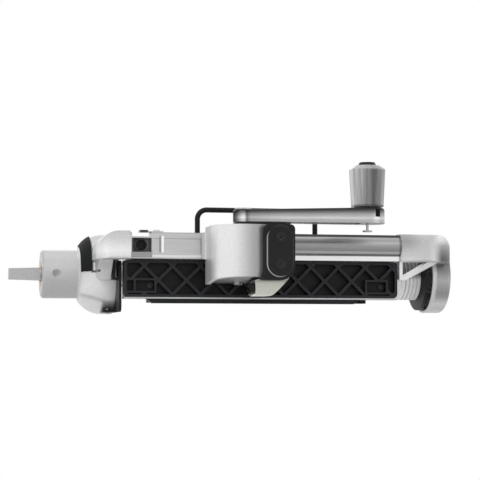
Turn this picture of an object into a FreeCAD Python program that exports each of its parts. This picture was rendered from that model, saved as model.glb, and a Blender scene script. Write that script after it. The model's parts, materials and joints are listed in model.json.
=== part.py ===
import FreeCAD, Part
import math
import os

V = FreeCAD.Vector

# Vegetable sheet cutter for the power hub of a stand mixer, in millimetres.
# Origin: the hub axis at the shoulder of the spigot.  +X runs along the food axis, away from the
# mixer, +Z is up and +Y points away from the side that carries the crank.

# ------------------------------------------------------------------ running gaps and fits
FIT = 0.05                   # radial play of a shaft or pin in its bush
RUN_GAP = 0.4                # space between two faces that slide past each other
SPIN_GAP = 0.5               # end play beside a turning piece
SEAT = 0.02                  # play of a screw, pin or insert in its seat
PAST = 1.0                   # how far a cutting tool reaches past the metal

# ------------------------------------------------------------------ power hub side
SPIGOT_R = 15.8
SPIGOT_LENGTH = 24.0
SPIGOT_CHAMFER = 1.2
DIMPLE_R = 3.0               # hollow for the hub's thumb screw
DIMPLE_FROM_END = 9.0
NOTCH_WIDTH = 4.4            # slot for the hub's locating pin
NOTCH_DEPTH = 3.0
NOTCH_LENGTH = 4.0
TANG_SIDE = 8.4              # square drive tang
TANG_TIP_SIDE = 7.2
TANG_LENGTH = 21.0
SHAFT_R = 5.0
INPUT_BUSH_WALL = 3.0

# ------------------------------------------------------------------ gear housing
HOUSING_R = 26.0
HOUSING_NOSE_R = 17.2        # radius where the nose meets the mixer
NOSE_LENGTH = 16.0
NOSE_BULGE = 1.8             # how far the nose is rounder than a cone
FRONT_WALL = 7.0
NOSE_ROOM_SLOPE = 1.2        # how far the gear room narrows towards the nose
SHELL_WALL = 4.2
COVER_T = 3.0
COVER_GAP = 0.7              # between the last gear and the cover
COVER_LEDGE = 0.6            # how far the cover sits past the shell's bore
PAD_T = 1.3                  # black rubber pad on the nose
PAD_START = 3.0              # degrees above the front horizontal
PAD_END = 100.0
PAD_INSET = 0.4

# ------------------------------------------------------------------ spur gears
PRESSURE_ANGLE = 25.0
ADDENDUM = 0.8               # times the module
DEDENDUM = 1.1               # times the module
BACKLASH = 0.12              # taken off each tooth at the pitch line
FLANK_STEPS = 3              # straight facets of a tooth flank
TRAIN_MODULE = 0.75
IDLER_ANGLE = -90.0          # the idler hangs straight under the spindle
INPUT_TEETH = 12
WHEEL_TEETH = 20
PINION_TEETH = 13
OUTPUT_TEETH = 19
TRAIN_FACE = 5.4             # tooth width of each stage
TRAIN_STUB_R = 2.4           # shaft inside the input gear
OUTPUT_STUB_R = 3.4          # spindle inside the output gear
IDLER_PIN_R = 2.2
IDLER_NECK_WALL = 1.5        # round the pin between its two gears
FEED_MODULE = 1.0
FEED_TEETH = 18              # crank gear and rack pinion
FEED_FACE = 6.0

# ------------------------------------------------------------------ food spindle, holder and skewer
SPINDLE_R = 4.5
SPINDLE_BUSH_WALL = 2.5
SPINDLE_BUSH_PLAY = 0.1      # between the bush and the last gear
HOLDER_R = 10.0
HOLDER_T = 4.0
HOLDER_EDGE = 1.0
PRONG_COUNT = 4
PRONG_CIRCLE_R = 7.0
PRONG_R = 1.2
PRONG_TIP_R = 0.25
PRONG_LENGTH = 7.0
SKEWER_R = 2.6
SKEWER_TIP = 2.6             # length of its point
SKEWER_TIP_R = 0.8
SKEWER_GRIP = 3.2            # how far the skewer reaches into the tail collar

# ------------------------------------------------------------------ front rail and arm of the housing
RAIL_FRONT = -52.0           # Y of the flat front face
RAIL_DEPTH = 12.0
RAIL_BOTTOM = 8.0
RAIL_HEIGHT = 17.2
RAIL_LEFT = 28.3
RAIL_LENGTH = 177.7
RAIL_CORNER = 1.6
ARM_RISE = 1.0               # the arm stands this much over the rail
ARM_LEFT = 7.0
ARM_CORNER = 9.0
ARM_SHOULDER = 15.0          # rounding of its top towards the mixer
ARM_INNER_Y = -6.0           # where the arm runs into the round housing
ARM_SLOPE_RUN = 10.0         # last stretch of its top, which slopes down
ARM_SLOPE_DROP = 6.0
SHOULDER_LEFT = 9.0          # web under the arm
SHOULDER_RIGHT = 18.0
SHOULDER_BOTTOM = -5.2
SHOULDER_FRONT = -44.0       # where its slope starts under the arm
SHOULDER_CORNER = 5.0
RECESS_DEPTH = 0.9
RECESS_LEFT = 49.5
RECESS_LENGTH = 24.5
RECESS_SIDE_MARGIN = 4.0
RECESS_CORNER = 1.0
SMALL_RECESS_LENGTH = 4.6
SMALL_RECESS_GAP = 2.6
ROUND_START = 92.0           # from here the rail is rounded at the front
ROUND_BULGE = 2.2
ROUND_STRIP = 3.2            # narrow strip below the bead
ROUND_EDGE = 1.8             # bevel above the bead
GROOVE = 0.9                 # depth of the groove between strip and bead
GROOVE_WIDTH = 1.0
POCKET_LENGTH = 12.6
POCKET_HEIGHT = 9.0
POCKET_DEPTH = 5.0
POCKET_LINING = 2.6
POCKET_FLOOR = 0.8           # closes the round hole
POCKET_RING_R = 4.4
POCKET_RING_WALL = 0.9
POCKET_RING_SETBACK = 1.6    # behind the rail's face
NOTCH_DROP = 2.8             # step in the rail's top over the pocket
CLIP_T = 0.8
CLIP_LENGTH = 15.0
CLIP_PAD = 5.2               # thumb pad at its free end
CLIP_PAD_T = 0.6
CLIP_SEAT = 8.0              # part of the clip that lies on the rail
CLIP_WIDTH = 7.0
CLIP_SCREW_GRIP = 4.0        # how deep its screw stands in the rail

# ------------------------------------------------------------------ blade carriage
GUIDE_ROD_R = 3.0
GUIDE_ROD_Z = 16.9
GUIDE_BUSH_WALL = 1.2
LUG_WALL = 1.1
LUG_LENGTH = 4.0
LEFT_ROD_FROM_RAIL_END = 6.8
ROD_SPARE = 1.5              # rod beyond the carriage at the end of its travel
ROD_FACE_SKIN = 2.0          # rail in front of the right rod's end
CARRIAGE_TRAVEL = 26.0
CASSETTE_FRONT = -47.0
CASSETTE_T = 7.0
CASSETTE_BOTTOM = -16.0
CASSETTE_CORNER = 3.0
CASSETTE_END_GAP = 0.5
CASSETTE_SHORTER = 1.2       # the cassette ends this much before the rail does
LATTICE_PITCH = 18.2
LATTICE_RIB = 1.9
LATTICE_BORDER = 1.8
LATTICE_DEPTH = 4.4
LATTICE_ROW_Z = -5.2         # height of the middle row of crossings
LATTICE_PHASE_X = 64.8       # X of one crossing in that row
BOX_WALL = 1.3               # walls of the two rectangular pockets
LEFT_BOX_LENGTH = 20.2
BOX_RIB_PLACE = 5.6          # of the rib that splits the left pocket, from its outer side
RIGHT_BOX_LENGTH = 15.4
BOX_HEIGHT = 9.4
BOX_FLOOR = 2.6              # above the cassette's bottom
BOX_SCREW_HEIGHT = 4.9       # of the screws above that floor
LATTICE_CORNER = 1.5
RIGHT_BOX_FROM_END = 6.5
FRAME_T = 2.4
BEAM_DEPTH = 6.0
BEAM_BOTTOM = 12.0
BEAM_HEIGHT = 10.5
BEAM_END_PLAY = 0.6
BEAM_CORNER = 1.5
NECK_OVERLAP = 1.0           # beam's neck down into the plate
STRIP_T = 1.0
BAR_LEFT = 39.0
BAR_LENGTH = 140.5
BAR_HEIGHT = 2.8
BAR_BEVEL = 4.0
BAR_DEPTH = 6.0
BAR_SETBACK = 1.0
BLADE_T = 1.4
BLADE_LENGTH = 138.0
BLADE_LEFT = 44.5
BLADE_EDGE_Z = 0.5
BLADE_BEVEL = 3.0
BLADE_EDGE_T = 0.1           # thickness left at the cutting edge
SHEET_GAP = 2.6              # way between frame and blade that the sheet comes out of
HOLDER_BAR_HEIGHT = 3.2
HOLDER_BAR_DEPTH = 4.0
HOLDER_LIP = 4.0             # ledge behind the blade's foot
HOLDER_LIP_SLOPE = 1.0
CHEEK_T = 3.0
CHEEK_HEIGHT = 6.6
RACK_DEPTH = 7.0             # from the pitch line to the back of the rack
RACK_TAIL = 3.0              # rack beyond the last tooth in use
RACK_FOOT_T = 2.0
RACK_FOOT_HEIGHT = 10.5
RACK_FOOT_SIDE = 5.0
RACK_SCREW_GRIP = 2.0        # how deep the rack's screws stand in the cassette
SCREW_EDGE = 0.4             # between a small head and the wall beside it

# ------------------------------------------------------------------ feed drum, crank and knob
DRUM_X = 96.0
DRUM_Y = -70.0
DRUM_R = 20.0
DRUM_WALL = 3.0
DRUM_TOP = 28.5
DRUM_FRONT_BOTTOM = -4.0
DRUM_UNDERSIDE_TILT = 6.0    # degrees, lower towards the rail
GEAR_ROOM_GAP = 0.8          # above and below the feed gears
FLANGE_SIDE = 2.6            # saddle flange beside the drum
FLANGE_T = 3.0
FLANGE_CORNER = 1.0
FLANGE_BOLT_INSET = 4.0      # of the bolts from the drum's sides
CRANK_SETBACK = 4.0          # crank axis in front of the drum's centre
FEED_SHAFT_R = 4.5
CRANK_BUSH_WALL = 2.0
PINION_ANGLE = 51.0          # of the rack pinion as seen from the crank, from +X towards +Y
PINION_PIN_R = 2.5
UNDERCOVER_INSET = 0.8       # cover above the rim of the drum's underside
UNDERCOVER_SCREW_LENGTH = 5.0
CRANK_HEAD_RIM = 0.8         # how far the shaft's head is wider than the shaft
LID_T = 1.7
LID_REACH = 6.0              # from the crank's axis to the lid's left end
LID_HALF = 8.0
LID_LEFT_CORNER = 6.0
LID_RIGHT_CORNER = 4.0
CRANK_T = 7.9                # at the pivot
CRANK_RISE = 2.0             # how much higher its top is at the knob
CRANK_PIVOT_R = 6.4
CRANK_TIP_R = 11.0
CRANK_REACH = 81.0
CRANK_EDGE = 1.6
CRANK_WALL = 2.0
KNOB_TOP_R = 10.8            # across the flats
KNOB_BOTTOM_R = 9.6
KNOB_HEIGHT = 26.6
KNOB_CHAMFER = 2.6
KNOB_SIDES = 8
KNOB_CAP_R = 6.0
KNOB_CAP_T = 2.0
KNOB_WASHER_T = 0.8
KNOB_AXLE_R = 3.2
KNOB_AXLE_HEAD = 1.2         # how far its head is wider
KNOB_CAP_BEVEL = 1.0
KNOB_TOP_RIM = 1.4           # flat of the barrel round the cap
FOOT_STEM_R = 0.9
FOOT_STEM_LENGTH = 4.2
FOOT_R = 3.2
FOOT_T = 0.9

# ------------------------------------------------------------------ rack cover beside the drum
RACK_COVER_FROM_DRUM = 10.1  # from the drum's axis to the cover's left side
RACK_COVER_WIDTH = 19.6
RACK_COVER_FLARE = 2.5       # how far its lower left corner stands out
RACK_COVER_FLARE_HEIGHT = 6.0
RACK_COVER_BACK = -57.5
RACK_COVER_WALL = 1.5
RACK_COVER_BOTTOM = -6.2
RACK_COVER_CORNER = 9.0
RACK_COVER_FLARE_CORNER = 2.0
RACK_COVER_TOP_CORNER = 3.0
PLATE_WIDTH = 17.0
PLATE_HEIGHT = 32.6
PLATE_MID_Z = 11.8
PLATE_T = 1.5
PLATE_BEVEL = 0.6
PLATE_SCREW_SPACING = 16.6
LIP_DROP = 9.6
LIP_DEPTH = 26.0
LIP_SETBACK = 2.0
LIP_OUT = 5.0                # how far it stands out to the left of the cover
LIP_LEAN = 1.5               # slope of its left edge
LIP_LOW_LENGTH = 10.8        # of its level bottom edge
LIP_EDGE_RISE = 9.0          # from the cover's bottom to where it meets the cover's right side
LIP_BEND_INSET = 2.6         # of the bend in its right edge from the cover's right side
LIP_BEND_RISE = 1.4          # of that bend above the cover's bottom
LIP_CORNER = 2.0
LIP_FRONT_R = 9.0
LIP_BACK_R = 2.0

# ------------------------------------------------------------------ wire hoop
HOOP_R = 1.7
HOOP_LEFT = 71.9
HOOP_SPAN = 77.6
HOOP_TOP = 40.2              # centre line of the top run
HOOP_CORNER = 6.0
HOOP_SEAT = 6.0              # how deep the legs stand in the rail

# ------------------------------------------------------------------ end bracket and tail
BRACKET_REACH = 32.5         # from the rail's end to the ring
BRACKET_FRONT_STEP = 2.0     # bracket face behind the rail's face
BRACKET_CORNER = 20.0
BRACKET_T = 10.0
BRACKET_EDGE = 4.0           # rounding of its upper front edge
BRACKET_TOP_CORNER = 12.0    # where its top turns down to the ring
BRACKET_END_CORNER = 14.0    # where its top turns down beyond the ring
BRACKET_RING_DROP = 4.0      # how far it meets the ring below the ring's top
RING_R = 24.4
RING_WALL = 2.1
RING_LENGTH = 7.0
DOME_LENGTH = 4.2
DOME_WALL = 2.0
DOME_EDGE = 2.6
BOSS_R = 9.0
GUSSET_T = 2.2
GUSSET_STRUT = 3.6
GUSSET_DROP = 12.0
GUSSET_REACH = 22.8
GUSSET_TOE = 4.3             # width of its lower end
GUSSET_DEPTH = 8.0
GUSSET_SETBACK = 2.0         # behind the bracket's face
TAIL_COLLAR_R = 15.6
TAIL_COLLAR_LENGTH = 13.0
TAIL_GROOVES = 4
TAIL_GROOVE_DEPTH = 1.2
TAIL_GROOVE_WIDTH = 1.0
SKEWER_CLEARANCE = 0.15      # round the skewer in the tail collar
SKEWER_END_GAP = 0.5
TAIL_DISC_R = 22.6
TAIL_DISC_T = 1.8
TAIL_DISC_DISH = 1.5
TAIL_DISC_FLAT = 1.2         # flat middle of the disc beyond the thrust flange
TAIL_DISC_BEND = 2.4
TAIL_SLEEVE_R = 5.5
TAIL_JOURNAL_R = 4.2
THRUST_R = 12.2              # flange of the sleeve that the spring pushes
THRUST_T = 1.4
TAIL_TRAVEL = 4.0            # enough to draw the collar off the skewer's tip
RING_GAP = 0.3               # left between disc and ring at the end of that travel
BOSS_GAP = 0.6               # left between the sleeve's flange and the boss then
BOSS_BORE_FLOOR = 0.5        # metal left at the end of the boss's bore
SPRING_WIRE_R = 0.6
SPRING_TURNS = 5
SPRING_END_GAP = 0.05

# ------------------------------------------------------------------ left guide plate
GUIDE_PLATE_T = 1.6
GUIDE_PLATE_FRONT = -39.0
GUIDE_PLATE_RIM = 1.5        # how far its round part stays inside the housing
GUIDE_PLATE_RISE = 0.8       # its foot above the lowest point of the housing
GUIDE_PLATE_CORNER = 4.0
GUIDE_FOOT_LENGTH = 8.0
GUIDE_FOOT_WIDTH = 16.0
GUIDE_FOOT_Y = -12.0
GUIDE_SCREW_GRIP = 1.0       # how deep its screw stands in the housing
HOOK_FROM_WALL = 4.3         # from the guide plate to the left side of its hook
HOOK_T = 2.2
HOOK_DEPTH = 4.0
HOOK_SETBACK = 2.0           # behind the plate's front edge
HOOK_HEIGHT = 12.4

# ------------------------------------------------------------------ fasteners
SCREW_HEAD_R = 2.8
SCREW_HEAD_T = 1.6
SCREW_SHANK_R = 1.5
SCREW_LENGTH = 8.0
SMALL_HEAD_R = 1.9
SMALL_HEAD_T = 0.9
SMALL_SHANK_R = 1.0
SOCKET_R = 1.3
SOCKET_DEPTH = 0.8
SOCKET_SHARE = 0.6           # of a small head's radius

# ------------------------------------------------------------------ places worked out from the sizes
TRAIN_DISTANCE = TRAIN_MODULE * (INPUT_TEETH + WHEEL_TEETH) / 2
STAGE_1_LEFT = FRONT_WALL + SPIN_GAP
STAGE_1_RIGHT = STAGE_1_LEFT + TRAIN_FACE
STAGE_2_LEFT = STAGE_1_RIGHT + SPIN_GAP
STAGE_2_RIGHT = STAGE_2_LEFT + TRAIN_FACE
HOUSING_LENGTH = STAGE_2_RIGHT + COVER_GAP + COVER_T
RAIL_BACK = RAIL_FRONT + RAIL_DEPTH
RAIL_TOP = RAIL_BOTTOM + RAIL_HEIGHT
RAIL_RIGHT = RAIL_LEFT + RAIL_LENGTH
ARM_TOP = RAIL_TOP + ARM_RISE
COVER_LEFT = HOUSING_LENGTH - COVER_T
SHELL_BORE_R = HOUSING_R - SHELL_WALL
BAY_LEFT = HOUSING_LENGTH + GUIDE_PLATE_T
GUIDE_PLATE_BOTTOM = GUIDE_PLATE_RISE - HOUSING_R
CASSETTE_LEFT = BAY_LEFT + CASSETTE_END_GAP
CASSETTE_RIGHT = RAIL_RIGHT - CASSETTE_SHORTER
CASSETTE_LENGTH = CASSETTE_RIGHT - CASSETTE_LEFT
CASSETTE_TOP = RAIL_BOTTOM - RUN_GAP
CASSETTE_BACK = CASSETTE_FRONT + CASSETTE_T
FRAME_BACK = CASSETTE_BACK + FRAME_T
BEAM_FRONT = RAIL_BACK + RUN_GAP
BEAM_BACK = BEAM_FRONT + BEAM_DEPTH
BEAM_TOP = BEAM_BOTTOM + BEAM_HEIGHT
BEAM_LEFT = RAIL_LEFT + BEAM_END_PLAY
LUG_BACK = BEAM_BACK + LUG_LENGTH
LEFT_ROD_X = RAIL_LEFT + LEFT_ROD_FROM_RAIL_END
GUIDE_BUSH_R = GUIDE_ROD_R + FIT + GUIDE_BUSH_WALL
LUG_R = GUIDE_BUSH_R + LUG_WALL
RIGHT_ROD_X = CASSETTE_RIGHT - LUG_R
ROD_X = (LEFT_ROD_X, RIGHT_ROD_X)
POCKET_LEFT = LEFT_ROD_X - POCKET_LENGTH / 2
POCKET_BACK = RAIL_FRONT + POCKET_DEPTH
STRIP_BOTTOM = CASSETTE_BOTTOM - STRIP_T
BAR_BOTTOM = STRIP_BOTTOM - BAR_HEIGHT
BLADE_FRONT = FRAME_BACK + SHEET_GAP
HOLDER_BAR_TOP = CASSETTE_BOTTOM
HOLDER_BAR_BOTTOM = HOLDER_BAR_TOP - HOLDER_BAR_HEIGHT

FEED_PITCH_R = FEED_MODULE * FEED_TEETH / 2
CRANK_X = DRUM_X
CRANK_Y = DRUM_Y - CRANK_SETBACK
PINION_X = CRANK_X + 2 * FEED_PITCH_R * math.cos(math.radians(PINION_ANGLE))
PINION_Y = CRANK_Y + 2 * FEED_PITCH_R * math.sin(math.radians(PINION_ANGLE))
FEED_TOP = RAIL_BOTTOM - RUN_GAP
FEED_BOTTOM = FEED_TOP - FEED_FACE
ROOM_TOP = FEED_TOP + GEAR_ROOM_GAP
ROOM_BOTTOM = FEED_BOTTOM - GEAR_ROOM_GAP
RACK_X = PINION_X + FEED_PITCH_R
RACK_RIGHT = RACK_X + RACK_DEPTH
RACK_FRONT = PINION_Y - CARRIAGE_TRAVEL - RACK_TAIL
RACK_COVER_FRONT = RACK_FRONT - SPIN_GAP - RACK_COVER_WALL
RACK_COVER_LEFT = DRUM_X + RACK_COVER_FROM_DRUM
RACK_COVER_RIGHT = RACK_COVER_LEFT + RACK_COVER_WIDTH
PLATE_X = (RACK_COVER_LEFT + RACK_COVER_RIGHT) / 2
LID_LEFT = CRANK_X - LID_REACH
LID_TOP = DRUM_TOP + LID_T
CRANK_ARM_BOTTOM = LID_TOP + RUN_GAP
CRANK_ARM_TOP = CRANK_ARM_BOTTOM + CRANK_T
CRANK_TIP_TOP = CRANK_ARM_TOP + CRANK_RISE
KNOB_X = CRANK_X + CRANK_REACH
KNOB_BOTTOM = CRANK_TIP_TOP + KNOB_WASHER_T
KNOB_TOP = KNOB_BOTTOM + KNOB_HEIGHT
KNOB_WELL_R = KNOB_AXLE_R + KNOB_AXLE_HEAD + RUN_GAP

RING_LEFT = RAIL_RIGHT + BRACKET_REACH
RING_RIGHT = RING_LEFT + RING_LENGTH
DOME_RIGHT = RING_RIGHT + DOME_LENGTH
BRACKET_FRONT = RAIL_FRONT + BRACKET_FRONT_STEP
BOSS_RIGHT = DOME_RIGHT - DOME_WALL
DISC_LEFT = RING_LEFT - RING_GAP - TAIL_TRAVEL - TAIL_DISC_T - TAIL_DISC_DISH
DISC_RIGHT = DISC_LEFT + TAIL_DISC_T
THRUST_LEFT = DISC_RIGHT + SPIN_GAP / 2
THRUST_RIGHT = THRUST_LEFT + THRUST_T
BOSS_LEFT = THRUST_RIGHT + TAIL_TRAVEL + BOSS_GAP
COLLAR_LEFT = DISC_LEFT - TAIL_COLLAR_LENGTH
SKEWER_END = COLLAR_LEFT + SKEWER_GRIP
HOLDER_LEFT = BAY_LEFT + SPIN_GAP
HOLDER_RIGHT = HOLDER_LEFT + HOLDER_T

NEARLY = 0.999               # keeps a short straight between two full rounds
EDGE_REACH = 0.01            # how near an edge lies to the plane it is picked by
NORMALS = {"XY": V(0, 0, 1), "XZ": V(0, 1, 0), "YZ": V(1, 0, 0)}


# ------------------------------------------------------------------ drawing helpers
def at(plane, u, v, level):
    """Point of a drawing plane: u and v run along its two axes and level along the third."""
    if plane == "XY":
        return V(u, v, level)
    if plane == "XZ":
        return V(u, level, v)
    return V(level, u, v)


def outline(corners, plane, level):
    """Closed wire through corners (u, v) or (u, v, radius), each rounded by its radius."""
    corners = [c if len(c) == 3 else (c[0], c[1], 0.0) for c in corners]
    stations = []
    for i, (u, v, radius) in enumerate(corners):
        here = at(plane, u, v, level)
        if radius == 0.0:
            stations.append((here, here, here))
            continue
        before = at(plane, *corners[i - 1][:2], level)
        after = at(plane, *corners[(i + 1) % len(corners)][:2], level)
        back = (before - here).normalize()
        on = (after - here).normalize()
        half = back.getAngle(on) / 2
        reach = radius / math.tan(half)
        middle = (back + on).normalize() * (radius / math.sin(half) - radius)
        stations.append((here + back * reach, here + middle, here + on * reach))
    edges = []
    for i, (start, middle, end) in enumerate(stations):
        if (start - end).Length > 1e-7:
            edges.append(Part.Arc(start, middle, end).toShape())
        following = stations[(i + 1) % len(stations)][0]
        if (following - end).Length > 1e-6:
            edges.append(Part.makeLine(end, following))
    return Part.Wire(edges)


def slab(corners, plane, start, end):
    """Outline drawn at start and extruded to end."""
    face = Part.Face(outline(corners, plane, start))
    return face.extrude(NORMALS[plane] * (end - start))


def block(x, y, z):
    """Box between pairs of limits."""
    return Part.makeBox(x[1] - x[0], y[1] - y[0], z[1] - z[0], V(x[0], y[0], z[0]))


def bar_x(start, end, r, y=0.0, z=0.0):
    return Part.makeCylinder(r, end - start, V(start, y, z), V(1, 0, 0))


def bar_y(start, end, r, x, z):
    return Part.makeCylinder(r, end - start, V(x, start, z), V(0, 1, 0))


def bar_z(start, end, r, x, y):
    return Part.makeCylinder(r, end - start, V(x, y, start), V(0, 0, 1))


def turned(profile):
    """Solid turned about the hub axis from corners (x, radius) or (x, radius, corner radius)."""
    face = Part.Face(outline(profile, "XZ", 0.0))
    return face.revolve(V(0, 0, 0), V(1, 0, 0), 360)


def joined(shapes):
    """One solid from shapes that overlap or share faces."""
    result = shapes[0].fuse(list(shapes[1:]))
    return result.removeSplitter()


def bored(shape, tools):
    """The shape with every tool cut away."""
    return shape.cut(list(tools))


# ------------------------------------------------------------------ gears
def flank(teeth, module, backlash):
    """Radius and half angle of involute points from the root side up to the tip."""
    pitch_r = module * teeth / 2
    pressure = math.radians(PRESSURE_ANGLE)
    base_r = pitch_r * math.cos(pressure)
    tip_r = pitch_r + ADDENDUM * module
    root_r = pitch_r - DEDENDUM * module
    half_at_pitch = (math.pi * module / 2 - backlash) / (2 * pitch_r)
    involute_at_pitch = math.tan(pressure) - pressure
    first_r = max(base_r, root_r)
    points = []
    for step in range(FLANK_STEPS + 1):
        r = first_r + (tip_r - first_r) * step / FLANK_STEPS
        roll = math.acos(min(1.0, base_r / r))
        involute = math.tan(roll) - roll
        points.append((r, half_at_pitch + involute_at_pitch - involute))
    return [(root_r, points[0][1])] * (root_r < first_r) + points


def gear_face(teeth, module, angle, plane, level, u=0.0, v=0.0):
    """Face of a spur gear with one tooth at the angle."""
    half = flank(teeth, module, BACKLASH)
    around = []
    for tooth in range(teeth):
        middle = angle + 2 * math.pi * tooth / teeth
        around += [(r, middle - spread) for r, spread in half]
        around += [(r, middle + spread) for r, spread in reversed(half)]
    points = [at(plane, u + r * math.cos(a), v + r * math.sin(a), level) for r, a in around]
    return Part.Face(Part.makePolygon(points + points[:1]))


def gear_x(teeth, angle, start, end, y=0.0, z=0.0):
    """Train gear about an axis along X; its angle runs from +Y towards +Z."""
    return gear_face(teeth, TRAIN_MODULE, angle, "YZ", start, y, z).extrude(V(end - start, 0, 0))


def gear_z(teeth, angle, start, end, x, y):
    """Feed gear about an axis along Z; its angle runs from +X towards +Y."""
    return gear_face(teeth, FEED_MODULE, angle, "XY", start, x, y).extrude(V(0, 0, end - start))


# ------------------------------------------------------------------ fasteners
def screw(x, y, z, axis, head_r=SCREW_HEAD_R, head_t=SCREW_HEAD_T, shank_r=SCREW_SHANK_R,
          length=SCREW_LENGTH):
    """Screw whose head stands on the point and whose shank runs back against the axis."""
    foot = V(x, y, z)
    head = Part.makeCylinder(head_r, head_t, foot, axis)
    shank = Part.makeCylinder(shank_r, length, foot - axis * length, axis)
    top = foot + axis * head_t
    socket_r = min(SOCKET_R, head_r * SOCKET_SHARE)
    socket = Part.makeCylinder(socket_r, SOCKET_DEPTH, top - axis * SOCKET_DEPTH, axis)
    return joined([head, shank]).cut(socket)


def group(shapes):
    """Separate solids of one node."""
    return Part.makeCompound(list(shapes))


# ------------------------------------------------------------------ gear housing and hub side
def arm_block(side_corners, plan_corners, front_corners, x, y, z):
    """Body bounded by its outlines from the side, from above and from the front."""
    side = slab(side_corners, "YZ", *x)
    plan = slab(plan_corners, "XY", *z)
    front = slab(front_corners, "XZ", *y)
    return side.common(plan).common(front)


def housing_arm():
    """Arm from the round housing forward to the rail."""
    foot_z = RAIL_BOTTOM
    inner_y = ARM_INNER_Y
    side = [(RAIL_FRONT, foot_z, RAIL_CORNER), (RAIL_FRONT, ARM_TOP, ARM_CORNER / 2),
            (inner_y - ARM_SLOPE_RUN, ARM_TOP, ARM_CORNER), (inner_y, ARM_TOP - ARM_SLOPE_DROP),
            (inner_y, foot_z)]
    plan = [(ARM_LEFT, RAIL_FRONT, ARM_CORNER), (RAIL_LEFT, RAIL_FRONT), (RAIL_LEFT, RAIL_BACK),
            (HOUSING_LENGTH, RAIL_BACK), (HOUSING_LENGTH, inner_y), (ARM_LEFT, inner_y)]
    front = [(ARM_LEFT, foot_z), (ARM_LEFT, ARM_TOP, ARM_SHOULDER), (RAIL_LEFT, ARM_TOP),
             (RAIL_LEFT, foot_z)]
    body = arm_block(side, plan, front, (ARM_LEFT, RAIL_LEFT), (RAIL_FRONT, inner_y), (foot_z, ARM_TOP))
    hollow = block((ARM_LEFT + SHELL_WALL, HOUSING_LENGTH - SHELL_WALL),
                   (RAIL_FRONT + SHELL_WALL, -HOUSING_R), (foot_z - PAST, ARM_TOP - SHELL_WALL * 1.5))
    return body.cut(hollow)


def housing_shoulder():
    """Web under the arm that runs into the round housing."""
    x = (SHOULDER_LEFT, SHOULDER_RIGHT)
    z = (SHOULDER_BOTTOM, RAIL_BOTTOM)
    inner_y = ARM_INNER_Y - SHELL_BORE_R * 0.8
    side = [(SHOULDER_FRONT, RAIL_BOTTOM), (-HOUSING_R - SHOULDER_CORNER, SHOULDER_BOTTOM, SHOULDER_CORNER),
            (inner_y, SHOULDER_BOTTOM), (inner_y, RAIL_BOTTOM)]
    plan = [(SHOULDER_LEFT, SHOULDER_FRONT), (SHOULDER_RIGHT, SHOULDER_FRONT), (SHOULDER_RIGHT, inner_y),
            (SHOULDER_LEFT, inner_y)]
    front = [(SHOULDER_LEFT, RAIL_BOTTOM), (SHOULDER_LEFT, SHOULDER_BOTTOM, SHOULDER_CORNER),
             (SHOULDER_RIGHT, SHOULDER_BOTTOM), (SHOULDER_RIGHT, RAIL_BOTTOM)]
    return arm_block(side, plan, front, x, (SHOULDER_FRONT, inner_y), z)


def nose_edge(offset=0.0):
    """Rounded nose of the housing as an arc, pushed outwards by the offset."""
    start = V(0, 0, HOUSING_NOSE_R + offset)
    end = V(NOSE_LENGTH, 0, HOUSING_R + offset)
    middle = (start + end) * 0.5 + V(-NOSE_BULGE, 0, NOSE_BULGE)
    return Part.Arc(start, middle, end)


def nose_solid(offset=0.0):
    """Solid of the nose and the round housing behind it."""
    edge = nose_edge(offset).toShape()
    r = HOUSING_R + offset
    corners = [V(NOSE_LENGTH, 0, r), V(HOUSING_LENGTH, 0, r), V(HOUSING_LENGTH, 0, 0), V(0, 0, 0),
               V(0, 0, HOUSING_NOSE_R + offset)]
    wire = Part.Wire([edge] + Part.makePolygon(corners).Edges)
    return Part.Face(wire).revolve(V(0, 0, 0), V(1, 0, 0), 360)


def spigot():
    """Round plug that goes into the mixer's hub."""
    plug = turned([(-SPIGOT_LENGTH, 0), (-SPIGOT_LENGTH, SPIGOT_R - SPIGOT_CHAMFER),
                   (-SPIGOT_LENGTH + SPIGOT_CHAMFER, SPIGOT_R), (PAST, SPIGOT_R), (PAST, 0)])
    dimple_foot = V(DIMPLE_FROM_END - SPIGOT_LENGTH, -SPIGOT_R, 0)
    dimple = Part.makeCone(DIMPLE_R, 0, DIMPLE_R, dimple_foot, V(0, 1, 0))
    notch = block((-SPIGOT_LENGTH - PAST, -SPIGOT_LENGTH + NOTCH_LENGTH),
                  (-NOTCH_WIDTH / 2, NOTCH_WIDTH / 2), (SPIGOT_R - NOTCH_DEPTH, SPIGOT_R + PAST))
    return bored(plug, [dimple, notch])


def idler_place():
    """Y and Z of the idler's axis."""
    angle = math.radians(IDLER_ANGLE)
    return TRAIN_DISTANCE * math.cos(angle), TRAIN_DISTANCE * math.sin(angle)


def gear_housing():
    body = joined([nose_solid(), spigot(), housing_arm(), housing_shoulder()])
    y, z = idler_place()
    room = turned([(FRONT_WALL, 0), (FRONT_WALL, SHELL_BORE_R - NOSE_ROOM_SLOPE),
                   (FRONT_WALL + 2 * NOSE_ROOM_SLOPE, SHELL_BORE_R), (HOUSING_LENGTH, SHELL_BORE_R),
                   (HOUSING_LENGTH, 0)])
    ledge = bar_x(COVER_LEFT, HOUSING_LENGTH, SHELL_BORE_R + COVER_LEDGE)
    bush_bore = bar_x(-SPIGOT_LENGTH, FRONT_WALL, SHAFT_R + FIT + INPUT_BUSH_WALL)
    pin_seat = bar_x(FRONT_WALL - IDLER_PIN_R, FRONT_WALL, IDLER_PIN_R, y, z)
    foot_flat = block((HOUSING_LENGTH - GUIDE_FOOT_LENGTH, HOUSING_LENGTH),
                      (GUIDE_FOOT_Y - GUIDE_FOOT_WIDTH / 2, GUIDE_FOOT_Y + GUIDE_FOOT_WIDTH / 2),
                      (-HOUSING_R - PAST, GUIDE_PLATE_BOTTOM + GUIDE_PLATE_T))
    return bored(body, [room, ledge, bush_bore, pin_seat, foot_flat, guide_plate_screw()])


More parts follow.
